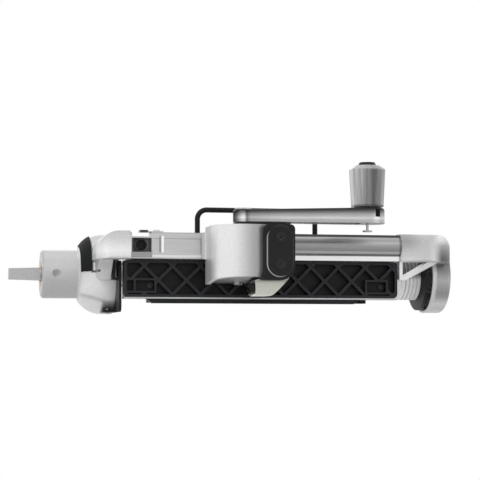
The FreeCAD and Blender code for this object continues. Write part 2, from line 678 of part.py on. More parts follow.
def collar_pad():
    """Rubber pad wrapped round the upper front of the nose."""
    skin = nose_solid(PAD_T).cut(nose_solid())
    sector = Part.makeCylinder(2 * HOUSING_R, ARM_LEFT - PAD_INSET, V(PAD_INSET, 0, 0), V(1, 0, 0),
                               PAD_END - PAD_START)
    sector.rotate(V(0, 0, 0), V(1, 0, 0), 90.0 - PAD_END)
    return skin.common(sector)


def input_bush():
    r = SHAFT_R + FIT
    return bar_x(-SPIGOT_LENGTH, FRONT_WALL, r + INPUT_BUSH_WALL).cut(
        bar_x(-SPIGOT_LENGTH, FRONT_WALL, r))


def gear_cover():
    """Round plate that closes the gear room towards the food."""
    y, z = idler_place()
    plate = bar_x(COVER_LEFT, HOUSING_LENGTH, SHELL_BORE_R + COVER_LEDGE - SEAT)
    pin_seat = bar_x(COVER_LEFT, COVER_LEFT + IDLER_PIN_R, IDLER_PIN_R, y, z)
    return bored(plate, [spindle_bush_blank(), pin_seat])


def spindle_bush_blank():
    return bar_x(STAGE_2_RIGHT + SPINDLE_BUSH_PLAY, BAY_LEFT, SPINDLE_R + FIT + SPINDLE_BUSH_WALL)


def spindle_bush():
    return spindle_bush_blank().cut(bar_x(0.0, BAY_LEFT, SPINDLE_R + FIT))


def idler_pin():
    y, z = idler_place()
    return bar_x(FRONT_WALL - IDLER_PIN_R, COVER_LEFT + IDLER_PIN_R, IDLER_PIN_R, y, z)


def guide_plate():
    """Black wall at the drive end of the food bay, with a foot bent under the housing."""
    tab = slab([(GUIDE_PLATE_FRONT, GUIDE_PLATE_BOTTOM, GUIDE_PLATE_CORNER),
                (GUIDE_PLATE_FRONT, CASSETTE_TOP, GUIDE_PLATE_CORNER / 2),
                (0.0, CASSETTE_TOP), (0.0, GUIDE_PLATE_BOTTOM)], "YZ", HOUSING_LENGTH, BAY_LEFT)
    disc = bar_x(HOUSING_LENGTH, BAY_LEFT, HOUSING_R - GUIDE_PLATE_RIM)
    foot_y = (GUIDE_FOOT_Y - GUIDE_FOOT_WIDTH / 2, GUIDE_FOOT_Y + GUIDE_FOOT_WIDTH / 2)
    foot_left = HOUSING_LENGTH - GUIDE_FOOT_LENGTH
    foot_top = GUIDE_PLATE_BOTTOM + GUIDE_PLATE_T
    foot = slab([(BAY_LEFT, foot_top), (BAY_LEFT, GUIDE_PLATE_BOTTOM, GUIDE_PLATE_T * 0.8),
                 (foot_left, GUIDE_PLATE_BOTTOM), (foot_left, foot_top)], "XZ", *foot_y)
    hook_y = (GUIDE_PLATE_FRONT + HOOK_SETBACK, GUIDE_PLATE_FRONT + HOOK_SETBACK + HOOK_DEPTH)
    hook_left = HOUSING_LENGTH - HOOK_FROM_WALL
    hook_low = CASSETTE_TOP - HOOK_HEIGHT
    hook = slab([(hook_left, CASSETTE_TOP), (hook_left + HOOK_T, CASSETTE_TOP),
                 (hook_left + HOOK_T, hook_low + GUIDE_PLATE_T), (HOUSING_LENGTH, hook_low + GUIDE_PLATE_T),
                 (HOUSING_LENGTH, hook_low), (hook_left, hook_low)], "XZ", *hook_y)
    return bored(joined([tab, disc, foot, hook]), [spindle_bush_blank(), guide_plate_screw()])


def guide_plate_screw():
    x = HOUSING_LENGTH - GUIDE_FOOT_LENGTH / 2
    return screw(x, GUIDE_FOOT_Y, GUIDE_PLATE_BOTTOM, V(0, 0, -1), SMALL_HEAD_R, SMALL_HEAD_T,
                 SMALL_SHANK_R, GUIDE_PLATE_T + GUIDE_SCREW_GRIP)


# ------------------------------------------------------------------ rail
def rail_profile_round():
    """Section of the rounded part: bead at the front over a groove and a lower strip."""
    y = RAIL_FRONT
    strip_top = RAIL_BOTTOM + ROUND_STRIP
    bead_bottom = strip_top + GROOVE_WIDTH
    bead_top = RAIL_TOP - ROUND_EDGE
    slope = GROOVE_WIDTH / 5
    middle_z = (bead_bottom + bead_top) / 2
    bead = Part.Arc(V(0, y, bead_bottom), V(0, y - ROUND_BULGE, middle_z), V(0, y, bead_top)).toShape()
    corners = [V(0, y, bead_top), V(0, y + ROUND_EDGE, RAIL_TOP), V(0, RAIL_BACK, RAIL_TOP),
               V(0, RAIL_BACK, RAIL_BOTTOM), V(0, y, RAIL_BOTTOM), V(0, y, strip_top),
               V(0, y + GROOVE, strip_top + slope), V(0, y + GROOVE, bead_bottom - slope),
               V(0, y, bead_bottom)]
    return Part.Face(Part.Wire([bead] + Part.makePolygon(corners).Edges))


def rail():
    flat = slab([(RAIL_FRONT, RAIL_BOTTOM, RAIL_CORNER), (RAIL_FRONT, RAIL_TOP, RAIL_CORNER),
                 (RAIL_BACK, RAIL_TOP), (RAIL_BACK, RAIL_BOTTOM)], "YZ", RAIL_LEFT, RAIL_LEFT + ROUND_START)
    rounded = rail_profile_round()
    rounded.translate(V(RAIL_LEFT + ROUND_START, 0, 0))
    rounded = rounded.extrude(V(RAIL_LENGTH - ROUND_START, 0, 0))
    face_y = (RAIL_FRONT, RAIL_FRONT + RECESS_DEPTH)
    low, high = RAIL_BOTTOM + RECESS_SIDE_MARGIN, RAIL_TOP - RECESS_SIDE_MARGIN
    right = RECESS_LEFT + RECESS_LENGTH
    r = RECESS_CORNER
    large = slab([(RECESS_LEFT, low, r), (RECESS_LEFT, high, r), (right, high, r), (right, low, r)],
                 "XZ", *face_y)
    small_right = RECESS_LEFT - SMALL_RECESS_GAP
    small = block((small_right - SMALL_RECESS_LENGTH, small_right), face_y, (low, high))
    pocket = pocket_box(RAIL_FRONT, POCKET_BACK, 0.0)
    step = block((POCKET_LEFT, POCKET_LEFT + POCKET_LENGTH), (RAIL_FRONT, RAIL_BACK),
                 (RAIL_TOP - NOTCH_DROP, RAIL_TOP))
    return bored(joined([flat, rounded]),
                 [large, small, pocket, step, guide_rods(), wire_hoop(), clip_screw(), flange_bolts()])


def pocket_box(front, back, inset):
    """Block in the rail's square pocket."""
    half = POCKET_HEIGHT / 2 - inset
    return block((POCKET_LEFT + inset, POCKET_LEFT + POCKET_LENGTH - inset), (front, back),
                 (GUIDE_ROD_Z - half, GUIDE_ROD_Z + half))


def pocket_insert():
    """Black lining of the pocket with a round blind hole over the end of the guide rod."""
    body = pocket_box(RAIL_FRONT + RECESS_DEPTH, POCKET_BACK, SEAT)
    hollow = pocket_box(RAIL_FRONT, POCKET_BACK - POCKET_LINING, BOX_WALL / 2)
    ring = bar_y(RAIL_FRONT + POCKET_RING_SETBACK, POCKET_BACK, POCKET_RING_R, LEFT_ROD_X, GUIDE_ROD_Z)
    hole = bar_y(RAIL_FRONT, POCKET_BACK - POCKET_FLOOR, POCKET_RING_R - POCKET_RING_WALL, LEFT_ROD_X,
                 GUIDE_ROD_Z)
    return bored(body, [hollow.cut(ring), hole])


def rod_clip():
    """Leaf spring on the rail that reaches over the pocket."""
    right = POCKET_LEFT + POCKET_LENGTH + CLIP_SEAT
    y = (RAIL_FRONT + RAIL_BACK) / 2
    left = right - CLIP_LENGTH
    across = (y - CLIP_WIDTH / 2, y + CLIP_WIDTH / 2)
    top = RAIL_TOP + CLIP_T
    leaf = block((left, right), across, (RAIL_TOP, top))
    pad = block((left, left + CLIP_PAD), across, (top, top + CLIP_PAD_T))
    return joined([leaf, pad]).cut(clip_screw())


def clip_screw():
    x = POCKET_LEFT + POCKET_LENGTH + CLIP_SEAT / 2
    return screw(x, (RAIL_FRONT + RAIL_BACK) / 2, RAIL_TOP + CLIP_T, V(0, 0, 1), SMALL_HEAD_R, SMALL_HEAD_T,
                 SMALL_SHANK_R, CLIP_T + CLIP_SCREW_GRIP)


def guide_rods():
    """Two steel rods that stand back from the rail and carry the carriage."""
    back = LUG_BACK + CARRIAGE_TRAVEL + ROD_SPARE
    starts = (POCKET_BACK, RAIL_FRONT + ROD_FACE_SKIN)
    return group(bar_y(start, back, GUIDE_ROD_R, x, GUIDE_ROD_Z) for start, x in zip(starts, ROD_X))


def flange_bolts():
    """Bolts that hold the drum's flange to the rail, from behind."""
    z = (RAIL_BOTTOM + RAIL_TOP) / 2
    return group(screw(x, RAIL_BACK - SCREW_HEAD_T - RUN_GAP, z, V(0, 1, 0), length=RAIL_DEPTH)
                 for x in (DRUM_X - DRUM_R + FLANGE_BOLT_INSET, DRUM_X + DRUM_R - FLANGE_BOLT_INSET))


def wire_hoop():
    """Bent wire whose two legs stand in the top of the rail."""
    y = (RAIL_FRONT + RAIL_BACK) / 2
    right = HOOP_LEFT + HOOP_SPAN
    foot_z = RAIL_TOP - HOOP_SEAT
    corner = HOOP_CORNER
    bend = corner * (1 - math.sqrt(0.5))
    top = HOOP_TOP
    path = Part.Wire([
        Part.makeLine(V(HOOP_LEFT, y, foot_z), V(HOOP_LEFT, y, top - corner)),
        Part.Arc(V(HOOP_LEFT, y, top - corner), V(HOOP_LEFT + bend, y, top - bend),
                 V(HOOP_LEFT + corner, y, top)).toShape(),
        Part.makeLine(V(HOOP_LEFT + corner, y, top), V(right - corner, y, top)),
        Part.Arc(V(right - corner, y, top), V(right - bend, y, top - bend),
                 V(right, y, top - corner)).toShape(),
        Part.makeLine(V(right, y, top - corner), V(right, y, foot_z))])
    ring = Part.Wire([Part.makeCircle(HOOP_R, V(HOOP_LEFT, y, foot_z), V(0, 0, 1))])
    return path.makePipeShell([ring], True, False)


# ------------------------------------------------------------------ end bracket and end cap
def end_bracket():
    inner = RING_LEFT
    back = BRACKET_FRONT + BRACKET_T
    side = [(BRACKET_FRONT, RAIL_BOTTOM, RAIL_CORNER), (BRACKET_FRONT, ARM_TOP, BRACKET_EDGE),
            (-BOSS_R * 2, ARM_TOP, BRACKET_TOP_CORNER), (-BOSS_R, RING_R - BRACKET_RING_DROP),
            (-BOSS_R, RAIL_BOTTOM)]
    plan = [(RAIL_RIGHT, BRACKET_FRONT), (RING_RIGHT, BRACKET_FRONT, BRACKET_CORNER), (RING_RIGHT, -BOSS_R),
            (inner, -BOSS_R), (inner, back, BRACKET_T), (RAIL_RIGHT, back)]
    front = [(RAIL_RIGHT, RAIL_BOTTOM), (RAIL_RIGHT, ARM_TOP), (RING_RIGHT, ARM_TOP, BRACKET_END_CORNER),
             (RING_RIGHT, RAIL_BOTTOM)]
    arm = arm_block(side, plan, front, (RAIL_RIGHT, RING_RIGHT), (BRACKET_FRONT, -BOSS_R),
                    (RAIL_BOTTOM, ARM_TOP))
    ring = bar_x(RING_LEFT, RING_RIGHT, RING_R)
    bore = bar_x(RAIL_RIGHT, RING_RIGHT, RING_R - RING_WALL)
    low = RAIL_BOTTOM - GUSSET_DROP
    end = RAIL_RIGHT + GUSSET_REACH
    outer = [(RAIL_RIGHT, RAIL_BOTTOM), (RAIL_RIGHT, low, GUSSET_T / 2), (RAIL_RIGHT + GUSSET_TOE, low),
             (end + GUSSET_TOE, RAIL_BOTTOM)]
    inner_cut = [(RAIL_RIGHT + GUSSET_T, RAIL_BOTTOM), (RAIL_RIGHT + GUSSET_T, low + GUSSET_T),
                 (end - GUSSET_STRUT, RAIL_BOTTOM)]
    gusset_y = (BRACKET_FRONT + GUSSET_SETBACK, BRACKET_FRONT + GUSSET_SETBACK + GUSSET_DEPTH)
    gusset = slab(outer, "XZ", *gusset_y).cut(slab(inner_cut, "XZ", *gusset_y))
    return joined([arm, ring, gusset]).cut(bore)


def end_cap():
    """Domed cap with the inner boss that guides the tail sleeve."""
    outer = turned([(RING_RIGHT, 0), (RING_RIGHT, RING_R), (DOME_RIGHT, RING_R, DOME_EDGE), (DOME_RIGHT, 0)])
    inner = turned([(RING_RIGHT, 0), (RING_RIGHT, RING_R - RING_WALL),
                    (BOSS_RIGHT, RING_R - RING_WALL, DOME_EDGE - DOME_WALL), (BOSS_RIGHT, 0)])
    boss = bar_x(BOSS_LEFT, BOSS_RIGHT, BOSS_R)
    bore = bar_x(BOSS_LEFT, BOSS_RIGHT - BOSS_BORE_FLOOR, TAIL_SLEEVE_R + FIT)
    return joined([outer.cut(inner), boss]).cut(bore)


# ------------------------------------------------------------------ tail
def tail_sleeve():
    """Sleeve that slides in the end cap and carries the turning collar."""
    right = BOSS_RIGHT - BOSS_BORE_FLOOR - TAIL_TRAVEL - SPIN_GAP
    return joined([bar_x(SKEWER_END + 2 * SKEWER_END_GAP, THRUST_LEFT, TAIL_JOURNAL_R),
                   bar_x(THRUST_LEFT, THRUST_RIGHT, THRUST_R),
                   bar_x(THRUST_RIGHT, right, TAIL_SLEEVE_R)])


def tail_spring():
    """Coil spring round the boss, between the sleeve's flange and the end cap."""
    length = BOSS_RIGHT - THRUST_RIGHT - 2 * (SPRING_WIRE_R + SPRING_END_GAP)
    radius = BOSS_R + SPRING_WIRE_R + RUN_GAP
    helix = Part.makeHelix(length / SPRING_TURNS, length, radius)
    halves = [Part.makeCircle(SPRING_WIRE_R, V(radius, 0, 0), V(0, 1, 0), start, start + 180)
              for start in (0, 180)]
    coil = Part.Wire(helix.Edges).makePipeShell([Part.Wire(halves)], True, True)
    coil.rotate(V(0, 0, 0), V(0, 1, 0), 90)
    coil.translate(V(THRUST_RIGHT + SPRING_WIRE_R + SPRING_END_GAP, 0, 0))
    return coil


def tail_collar():
    """Ring-grooved collar that takes the tip of the skewer."""
    pitch = TAIL_COLLAR_LENGTH / (TAIL_GROOVES + 1)
    half = TAIL_GROOVE_WIDTH / 2
    body = bar_x(COLLAR_LEFT, DISC_LEFT, TAIL_COLLAR_R)
    rings = []
    for i in range(TAIL_GROOVES):
        x = COLLAR_LEFT + pitch * (i + 1)
        rings.append(bar_x(x - half, x + half, TAIL_COLLAR_R).cut(
            bar_x(x - half, x + half, TAIL_COLLAR_R - TAIL_GROOVE_DEPTH)))
    socket = bar_x(COLLAR_LEFT, SKEWER_END + SKEWER_END_GAP, SKEWER_R + SKEWER_CLEARANCE)
    bore = bar_x(SKEWER_END + SKEWER_END_GAP, DISC_LEFT, TAIL_JOURNAL_R + FIT)
    return bored(body, rings + [socket, bore])


def tail_disc():
    """Black dished disc behind the collar."""
    flat_r = THRUST_R + TAIL_DISC_FLAT
    back = DISC_LEFT + TAIL_DISC_DISH
    bore_r = TAIL_JOURNAL_R + FIT
    return turned([(DISC_LEFT, bore_r), (DISC_LEFT, flat_r, TAIL_DISC_BEND), (back, TAIL_DISC_R),
                   (back + TAIL_DISC_T, TAIL_DISC_R), (DISC_RIGHT, flat_r, TAIL_DISC_BEND),
                   (DISC_RIGHT, bore_r)])


# ------------------------------------------------------------------ drive train and food spindle
def power_shaft():
    """Square tang for the mixer's socket and the round shaft that carries the first gear."""
    start = -SPIGOT_LENGTH
    tip = start - TANG_LENGTH
    wires = [Part.makePolygon([V(x, a * s / 2, b * s / 2)
                               for a, b in ((-1, -1), (1, -1), (1, 1), (-1, 1), (-1, -1))])
             for x, s in ((tip, TANG_TIP_SIDE), (start, TANG_SIDE))]
    tang = Part.makeLoft(wires, True, True)
    shaft = bar_x(start - PAST, FRONT_WALL + SPIN_GAP / 2, SHAFT_R)
    stub = bar_x(0.0, STAGE_1_RIGHT, TRAIN_STUB_R)
    return joined([tang, shaft, stub])


def input_gear():
    angle = math.radians(IDLER_ANGLE)
    return gear_x(INPUT_TEETH, angle, STAGE_1_LEFT, STAGE_1_RIGHT).cut(
        bar_x(STAGE_1_LEFT, STAGE_1_RIGHT, TRAIN_STUB_R))


def idler_cluster():
    """Large and small gear in one piece on the idler pin."""
    y, z = idler_place()
    back = math.radians(IDLER_ANGLE + 180.0)
    wheel = gear_x(WHEEL_TEETH, back + math.pi / WHEEL_TEETH, STAGE_1_LEFT, STAGE_1_RIGHT, y, z)
    neck = bar_x(STAGE_1_RIGHT - 0.5, STAGE_2_LEFT + 0.5, IDLER_PIN_R + IDLER_NECK_WALL, y, z)
    pinion = gear_x(PINION_TEETH, back, STAGE_2_LEFT, STAGE_2_RIGHT, y, z)
    return joined([wheel, neck, pinion]).cut(bar_x(0.0, COVER_LEFT, IDLER_PIN_R + FIT, y, z))


def output_gear():
    angle = math.radians(IDLER_ANGLE) + math.pi / OUTPUT_TEETH
    return gear_x(OUTPUT_TEETH, angle, STAGE_2_LEFT, STAGE_2_RIGHT).cut(
        bar_x(STAGE_2_LEFT, STAGE_2_RIGHT, OUTPUT_STUB_R))


def food_spindle():
    body = joined([bar_x(STAGE_2_LEFT, STAGE_2_RIGHT, OUTPUT_STUB_R),
                   bar_x(STAGE_2_RIGHT, HOLDER_LEFT + HOLDER_T / 2, SPINDLE_R)])
    return body.cut(bar_x(STAGE_2_RIGHT, HOLDER_RIGHT, SKEWER_R))


def food_holder():
    """Disc with prongs that drives the food."""
    disc = turned([(HOLDER_LEFT, 0), (HOLDER_LEFT, HOLDER_R, HOLDER_EDGE),
                   (HOLDER_RIGHT, HOLDER_R, HOLDER_EDGE), (HOLDER_RIGHT, 0)])
    prongs = []
    for i in range(PRONG_COUNT):
        a = 2 * math.pi * i / PRONG_COUNT
        foot = V(HOLDER_RIGHT - 0.5, PRONG_CIRCLE_R * math.cos(a), PRONG_CIRCLE_R * math.sin(a))
        prongs.append(Part.makeCone(PRONG_R, PRONG_TIP_R, PRONG_LENGTH, foot, V(1, 0, 0)))
    seat = bar_x(HOLDER_LEFT, HOLDER_LEFT + HOLDER_T / 2, SPINDLE_R)
    return bored(joined([disc] + prongs), [seat, bar_x(HOLDER_LEFT, HOLDER_RIGHT, SKEWER_R)])


def food_skewer():
    return turned([(STAGE_2_RIGHT, 0), (STAGE_2_RIGHT, SKEWER_R), (SKEWER_END - SKEWER_TIP, SKEWER_R),
                   (SKEWER_END, SKEWER_TIP_R), (SKEWER_END, 0)])


# ------------------------------------------------------------------ feed drum
def drum_outline(r, back):
    """Plan of the drum: half round at the front and straight back to the rail."""
    return [(DRUM_X - r, back), (DRUM_X - r, DRUM_Y - r, r * NEARLY), (DRUM_X + r, DRUM_Y - r, r * NEARLY),
            (DRUM_X + r, back)]


def below_drum(lift=0.0):
    """Everything under the drum's slanting underside, raised by the lift."""
    front = DRUM_Y - 2 * DRUM_R
    slope = math.tan(math.radians(DRUM_UNDERSIDE_TILT))
    edge = DRUM_Y - DRUM_R
    z_front = DRUM_FRONT_BOTTOM + lift + slope * (edge - front)
    z_back = DRUM_FRONT_BOTTOM + lift - slope * (0.0 - edge)
    floor = DRUM_FRONT_BOTTOM - 2 * DRUM_R
    return slab([(front, z_front), (0.0, z_back), (0.0, floor), (front, floor)], "YZ",
                DRUM_X - 3 * DRUM_R, DRUM_X + 3 * DRUM_R)


def rack_way():
    """Room that the rack slides in."""
    gap = SPIN_GAP
    return block((PINION_X, RACK_RIGHT + gap), (RACK_FRONT - gap, RAIL_FRONT + PAST),
                 (FEED_BOTTOM - gap, FEED_TOP + gap))


def crank_bush_blank():
    return bar_z(ROOM_TOP, DRUM_TOP, FEED_SHAFT_R + FIT + CRANK_BUSH_WALL, CRANK_X, CRANK_Y)


def drum_housing():
    """Feed drum: shell round the gears with its flange on the rail."""
    drop = DRUM_FRONT_BOTTOM - DRUM_R
    body = slab(drum_outline(DRUM_R, RAIL_FRONT), "XY", drop, DRUM_TOP)
    left, right = DRUM_X - DRUM_R - FLANGE_SIDE, DRUM_X + DRUM_R + FLANGE_SIDE
    r = FLANGE_CORNER
    flange = slab([(left, RAIL_BOTTOM, r), (left, RAIL_TOP, r), (right, RAIL_TOP, r),
                   (right, RAIL_BOTTOM, r)], "XZ", RAIL_FRONT - FLANGE_T, RAIL_FRONT)
    inner_r = DRUM_R - DRUM_WALL
    room = slab(drum_outline(inner_r, RAIL_FRONT), "XY", drop, ROOM_TOP)
    upper = slab(drum_outline(inner_r, RAIL_FRONT - DRUM_WALL), "XY", ROOM_TOP, DRUM_TOP - DRUM_WALL)
    boss_r = FEED_SHAFT_R + FIT + 2 * CRANK_BUSH_WALL
    bosses = [bar_z(ROOM_TOP, DRUM_TOP, boss_r, CRANK_X, CRANK_Y),
              bar_z(ROOM_TOP, DRUM_TOP, 2 * PINION_PIN_R, PINION_X, PINION_Y)]
    shell = bored(joined([body, flange]), [room, upper.cut(bosses), below_drum()])
    return bored(shell, [rack_way(), crank_bush_blank(), pinion_pin(), flange_bolts()])


def crank_bush():
    return crank_bush_blank().cut(bar_z(ROOM_TOP, DRUM_TOP, FEED_SHAFT_R + FIT, CRANK_X, CRANK_Y))


def pinion_pin():
    return bar_z(ROOM_BOTTOM - PINION_PIN_R, ROOM_TOP + 2 * PINION_PIN_R, PINION_PIN_R, PINION_X, PINION_Y)


def undercover():
    """Cover under the feed gears, flush with the slanting underside."""
    plate = slab(drum_outline(DRUM_R - DRUM_WALL - SEAT, RAIL_FRONT), "XY", DRUM_FRONT_BOTTOM - DRUM_R,
                 ROOM_BOTTOM)
    shaft_room = bar_z(ROOM_BOTTOM - FEED_SHAFT_R / 2, ROOM_BOTTOM, FEED_SHAFT_R + FIT, CRANK_X, CRANK_Y)
    return bored(plate, [below_drum(UNDERCOVER_INSET), pinion_pin(), shaft_room, undercover_screw(),
                         rack_way()])


def undercover_screw():
    tilt = math.radians(DRUM_UNDERSIDE_TILT)
    y = RAIL_FRONT - 2 * SCREW_HEAD_R
    z = DRUM_FRONT_BOTTOM + UNDERCOVER_INSET - math.tan(tilt) * (y - DRUM_Y + DRUM_R)
    return screw(DRUM_X, y, z, V(0, -math.sin(tilt), -math.cos(tilt)), length=UNDERCOVER_SCREW_LENGTH)


def drum_lid():
    """Black plate under the crank arm, over the drum and the rack cover."""
    right = RACK_COVER_RIGHT
    front, back = CRANK_Y - LID_HALF, CRANK_Y + LID_HALF
    plate = slab([(LID_LEFT, front, LID_LEFT_CORNER), (right, front, LID_RIGHT_CORNER),
                  (right, back, LID_RIGHT_CORNER), (LID_LEFT, back, LID_LEFT_CORNER)], "XY", DRUM_TOP,
                 LID_TOP)
    return plate.cut(bar_z(DRUM_TOP, LID_TOP, FEED_SHAFT_R + SPIN_GAP, CRANK_X, CRANK_Y))


def cover_outline():
    """Front view of the rack cover with its lower left corner flared."""
    left, right, low = RACK_COVER_LEFT, RACK_COVER_RIGHT, RACK_COVER_BOTTOM
    knee = RACK_COVER_FLARE_HEIGHT
    return [(left - RACK_COVER_FLARE, low, RACK_COVER_FLARE_CORNER), (left, low + knee, knee / 2),
            (left, DRUM_TOP, RACK_COVER_TOP_CORNER), (right, DRUM_TOP, RACK_COVER_TOP_CORNER),
            (right, low, RACK_COVER_CORNER)]


def rack_cover():
    """Black cover over the end of the rack, fitted round the drum."""
    body = slab(cover_outline(), "XZ", RACK_COVER_FRONT, RACK_COVER_BACK)
    drum = slab(drum_outline(DRUM_R, RAIL_FRONT), "XY", RACK_COVER_BOTTOM - DRUM_R, LID_TOP)
    return bored(body, [drum, rack_way(), rack_cover_screws()])


def rack_cover_plate():
    """Raised oblong plate on the front of the rack cover."""
    half = PLATE_HEIGHT / 2
    left = PLATE_X - PLATE_WIDTH / 2
    right = PLATE_X + PLATE_WIDTH / 2
    low, high = PLATE_MID_Z - half, PLATE_MID_Z + half
    r = PLATE_WIDTH / 2 * NEARLY
    front = RACK_COVER_FRONT - PLATE_T
    plate = slab([(left, low, r), (left, high, r), (right, high, r), (right, low, r)], "XZ", front,
                 RACK_COVER_FRONT)
    rim = [e for e in plate.Edges if e.BoundBox.YMax < front + EDGE_REACH]
    return plate.makeChamfer(PLATE_BEVEL, rim).cut(rack_cover_screws())


def rack_cover_screws():
    """Two screws in the plate; their heads stand on its face."""
    front = RACK_COVER_FRONT - PLATE_T
    half = PLATE_SCREW_SPACING / 2
    return group(screw(PLATE_X, front, z, V(0, -1, 0), SCREW_HEAD_R, SMALL_HEAD_T, SCREW_SHANK_R,
                       PLATE_T + RACK_COVER_WALL) for z in (PLATE_MID_Z - half, PLATE_MID_Z + half))


def cover_lip():
    """Bright chin under the rack cover that turns the sheet away."""
    back = RACK_COVER_BACK - LIP_SETBACK
    low = RACK_COVER_BOTTOM - LIP_DROP
    left = RACK_COVER_LEFT - LIP_OUT
    chin = slab([(left, low + LIP_DROP), (left + LIP_LEAN, low, LIP_CORNER),
                 (left + LIP_LEAN + LIP_LOW_LENGTH, low, 2 * LIP_CORNER),
                 (RACK_COVER_RIGHT - LIP_BEND_INSET, RACK_COVER_BOTTOM + LIP_BEND_RISE, 2 * LIP_CORNER),
                 (RACK_COVER_RIGHT, RACK_COVER_BOTTOM + LIP_EDGE_RISE)], "XZ", back - LIP_DEPTH, back)
    side = slab([(back - LIP_DEPTH, low, LIP_FRONT_R), (back - LIP_DEPTH, PLATE_MID_Z), (back, PLATE_MID_Z),
                 (back, low, LIP_BACK_R)], "YZ", left, RACK_COVER_RIGHT)
    above = slab(cover_outline(), "XZ", RACK_COVER_FRONT, RACK_COVER_BACK)
    drum = slab(drum_outline(DRUM_R, RAIL_FRONT), "XY", DRUM_FRONT_BOTTOM - DRUM_R, DRUM_TOP)
    return bored(chin.common(side), [above, drum.cut(below_drum())])


# ------------------------------------------------------------------ crank and knob
def capsule(x0, y0, r0, x1, y1, r1, level):
    """Plan of two circles joined by their tangents, along X."""
    lean = math.asin((r0 - r1) / (x1 - x0))
    c, s = math.cos(lean), math.sin(lean)
    a = [V(x0 + r0 * s, y0 + side * r0 * c, level) for side in (1, -1)]
    b = [V(x1 + r1 * s, y1 + side * r1 * c, level) for side in (1, -1)]
    return Part.Wire([Part.Arc(a[0], V(x0 - r0, y0, level), a[1]).toShape(), Part.makeLine(a[1], b[1]),
                      Part.Arc(b[1], V(x1 + r1, y1, level), b[0]).toShape(), Part.makeLine(b[0], a[0])])


def crank_side(drop=0.0):
    """Everything under the arm's sloping top, lowered by the drop, as seen from the front."""
    over = 2 * CRANK_TIP_R
    slope = CRANK_RISE / CRANK_REACH
    left, right = CRANK_X - over, KNOB_X + over
    corners = [(left, CRANK_ARM_BOTTOM), (left, CRANK_ARM_TOP - drop - slope * over),
               (right, CRANK_TIP_TOP - drop + slope * over), (right, CRANK_ARM_BOTTOM)]
    return slab(corners, "XZ", CRANK_Y - over, CRANK_Y + over)


def crank_arm():
    height = 2 * (CRANK_TIP_TOP - CRANK_ARM_BOTTOM)
    plan = capsule(CRANK_X, CRANK_Y, CRANK_PIVOT_R, KNOB_X, CRANK_Y, CRANK_TIP_R, CRANK_ARM_BOTTOM)
    body = Part.Face(plan).extrude(V(0, 0, height)).common(crank_side())
    rim = [e for e in body.Edges if e.BoundBox.ZMin > (CRANK_ARM_BOTTOM + CRANK_ARM_TOP) / 2]
    body = body.makeFillet(CRANK_EDGE, rim)
    left, right = CRANK_X + 2 * CRANK_PIVOT_R, KNOB_X - CRANK_TIP_R
    hollow = capsule(left, CRANK_Y, CRANK_PIVOT_R - CRANK_WALL, right, CRANK_Y,
                     CRANK_TIP_R - 2 * CRANK_WALL, CRANK_ARM_BOTTOM)
    hollow = Part.Face(hollow).extrude(V(0, 0, height)).common(crank_side(CRANK_WALL))
    return bored(body, [hollow, crank_shaft(), knob_axle()])


def crank_shaft():
    """Vertical shaft from the arm down to the gear, with its flat screw head on top."""
    shaft = bar_z(ROOM_BOTTOM - FEED_SHAFT_R / 2 + FIT, CRANK_ARM_TOP, FEED_SHAFT_R, CRANK_X, CRANK_Y)
    head_r = FEED_SHAFT_R + CRANK_HEAD_RIM
    head = bar_z(CRANK_ARM_TOP, CRANK_ARM_TOP + SMALL_HEAD_T, head_r, CRANK_X, CRANK_Y)
    return joined([shaft, head])


def crank_gear():
    angle = math.radians(PINION_ANGLE)
    return gear_z(FEED_TEETH, angle, FEED_BOTTOM, FEED_TOP, CRANK_X, CRANK_Y).cut(
        bar_z(FEED_BOTTOM, FEED_TOP, FEED_SHAFT_R, CRANK_X, CRANK_Y))


def rack_pinion():
    """Gear between the crank gear and the rack."""
    angle = math.radians(PINION_ANGLE) + math.pi + math.pi / FEED_TEETH
    return gear_z(FEED_TEETH, angle, FEED_BOTTOM, FEED_TOP, PINION_X, PINION_Y).cut(
        bar_z(FEED_BOTTOM, FEED_TOP, PINION_PIN_R + FIT, PINION_X, PINION_Y))


def knob_axle():
    """Pin through the arm that the knob turns on, with its washer foot below."""
    foot_z = CRANK_ARM_BOTTOM - FOOT_STEM_LENGTH
    head_z = KNOB_TOP - KNOB_CHAMFER - 2 * KNOB_CAP_T
    return joined([bar_z(CRANK_ARM_BOTTOM, head_z, KNOB_AXLE_R, KNOB_X, CRANK_Y),
                   bar_z(CRANK_TIP_TOP, KNOB_BOTTOM - FIT, KNOB_BOTTOM_R - KNOB_CAP_BEVEL, KNOB_X, CRANK_Y),
                   bar_z(head_z, head_z + KNOB_CAP_T, KNOB_AXLE_R + KNOB_AXLE_HEAD, KNOB_X, CRANK_Y),
                   bar_z(foot_z, CRANK_ARM_BOTTOM, FOOT_STEM_R, KNOB_X, CRANK_Y),
                   bar_z(foot_z - FOOT_T, foot_z, FOOT_R, KNOB_X, CRANK_Y)])


def polygon_ring(flat_r, z):
    """Regular polygon about the knob's axis by its radius across the flats."""
    r = flat_r / math.cos(math.pi / KNOB_SIDES)
    points = [V(KNOB_X + r * math.cos(a), CRANK_Y + r * math.sin(a), z)
              for a in (2 * math.pi * (i + 0.5) / KNOB_SIDES for i in range(KNOB_SIDES))]
    return Part.makePolygon(points + points[:1])


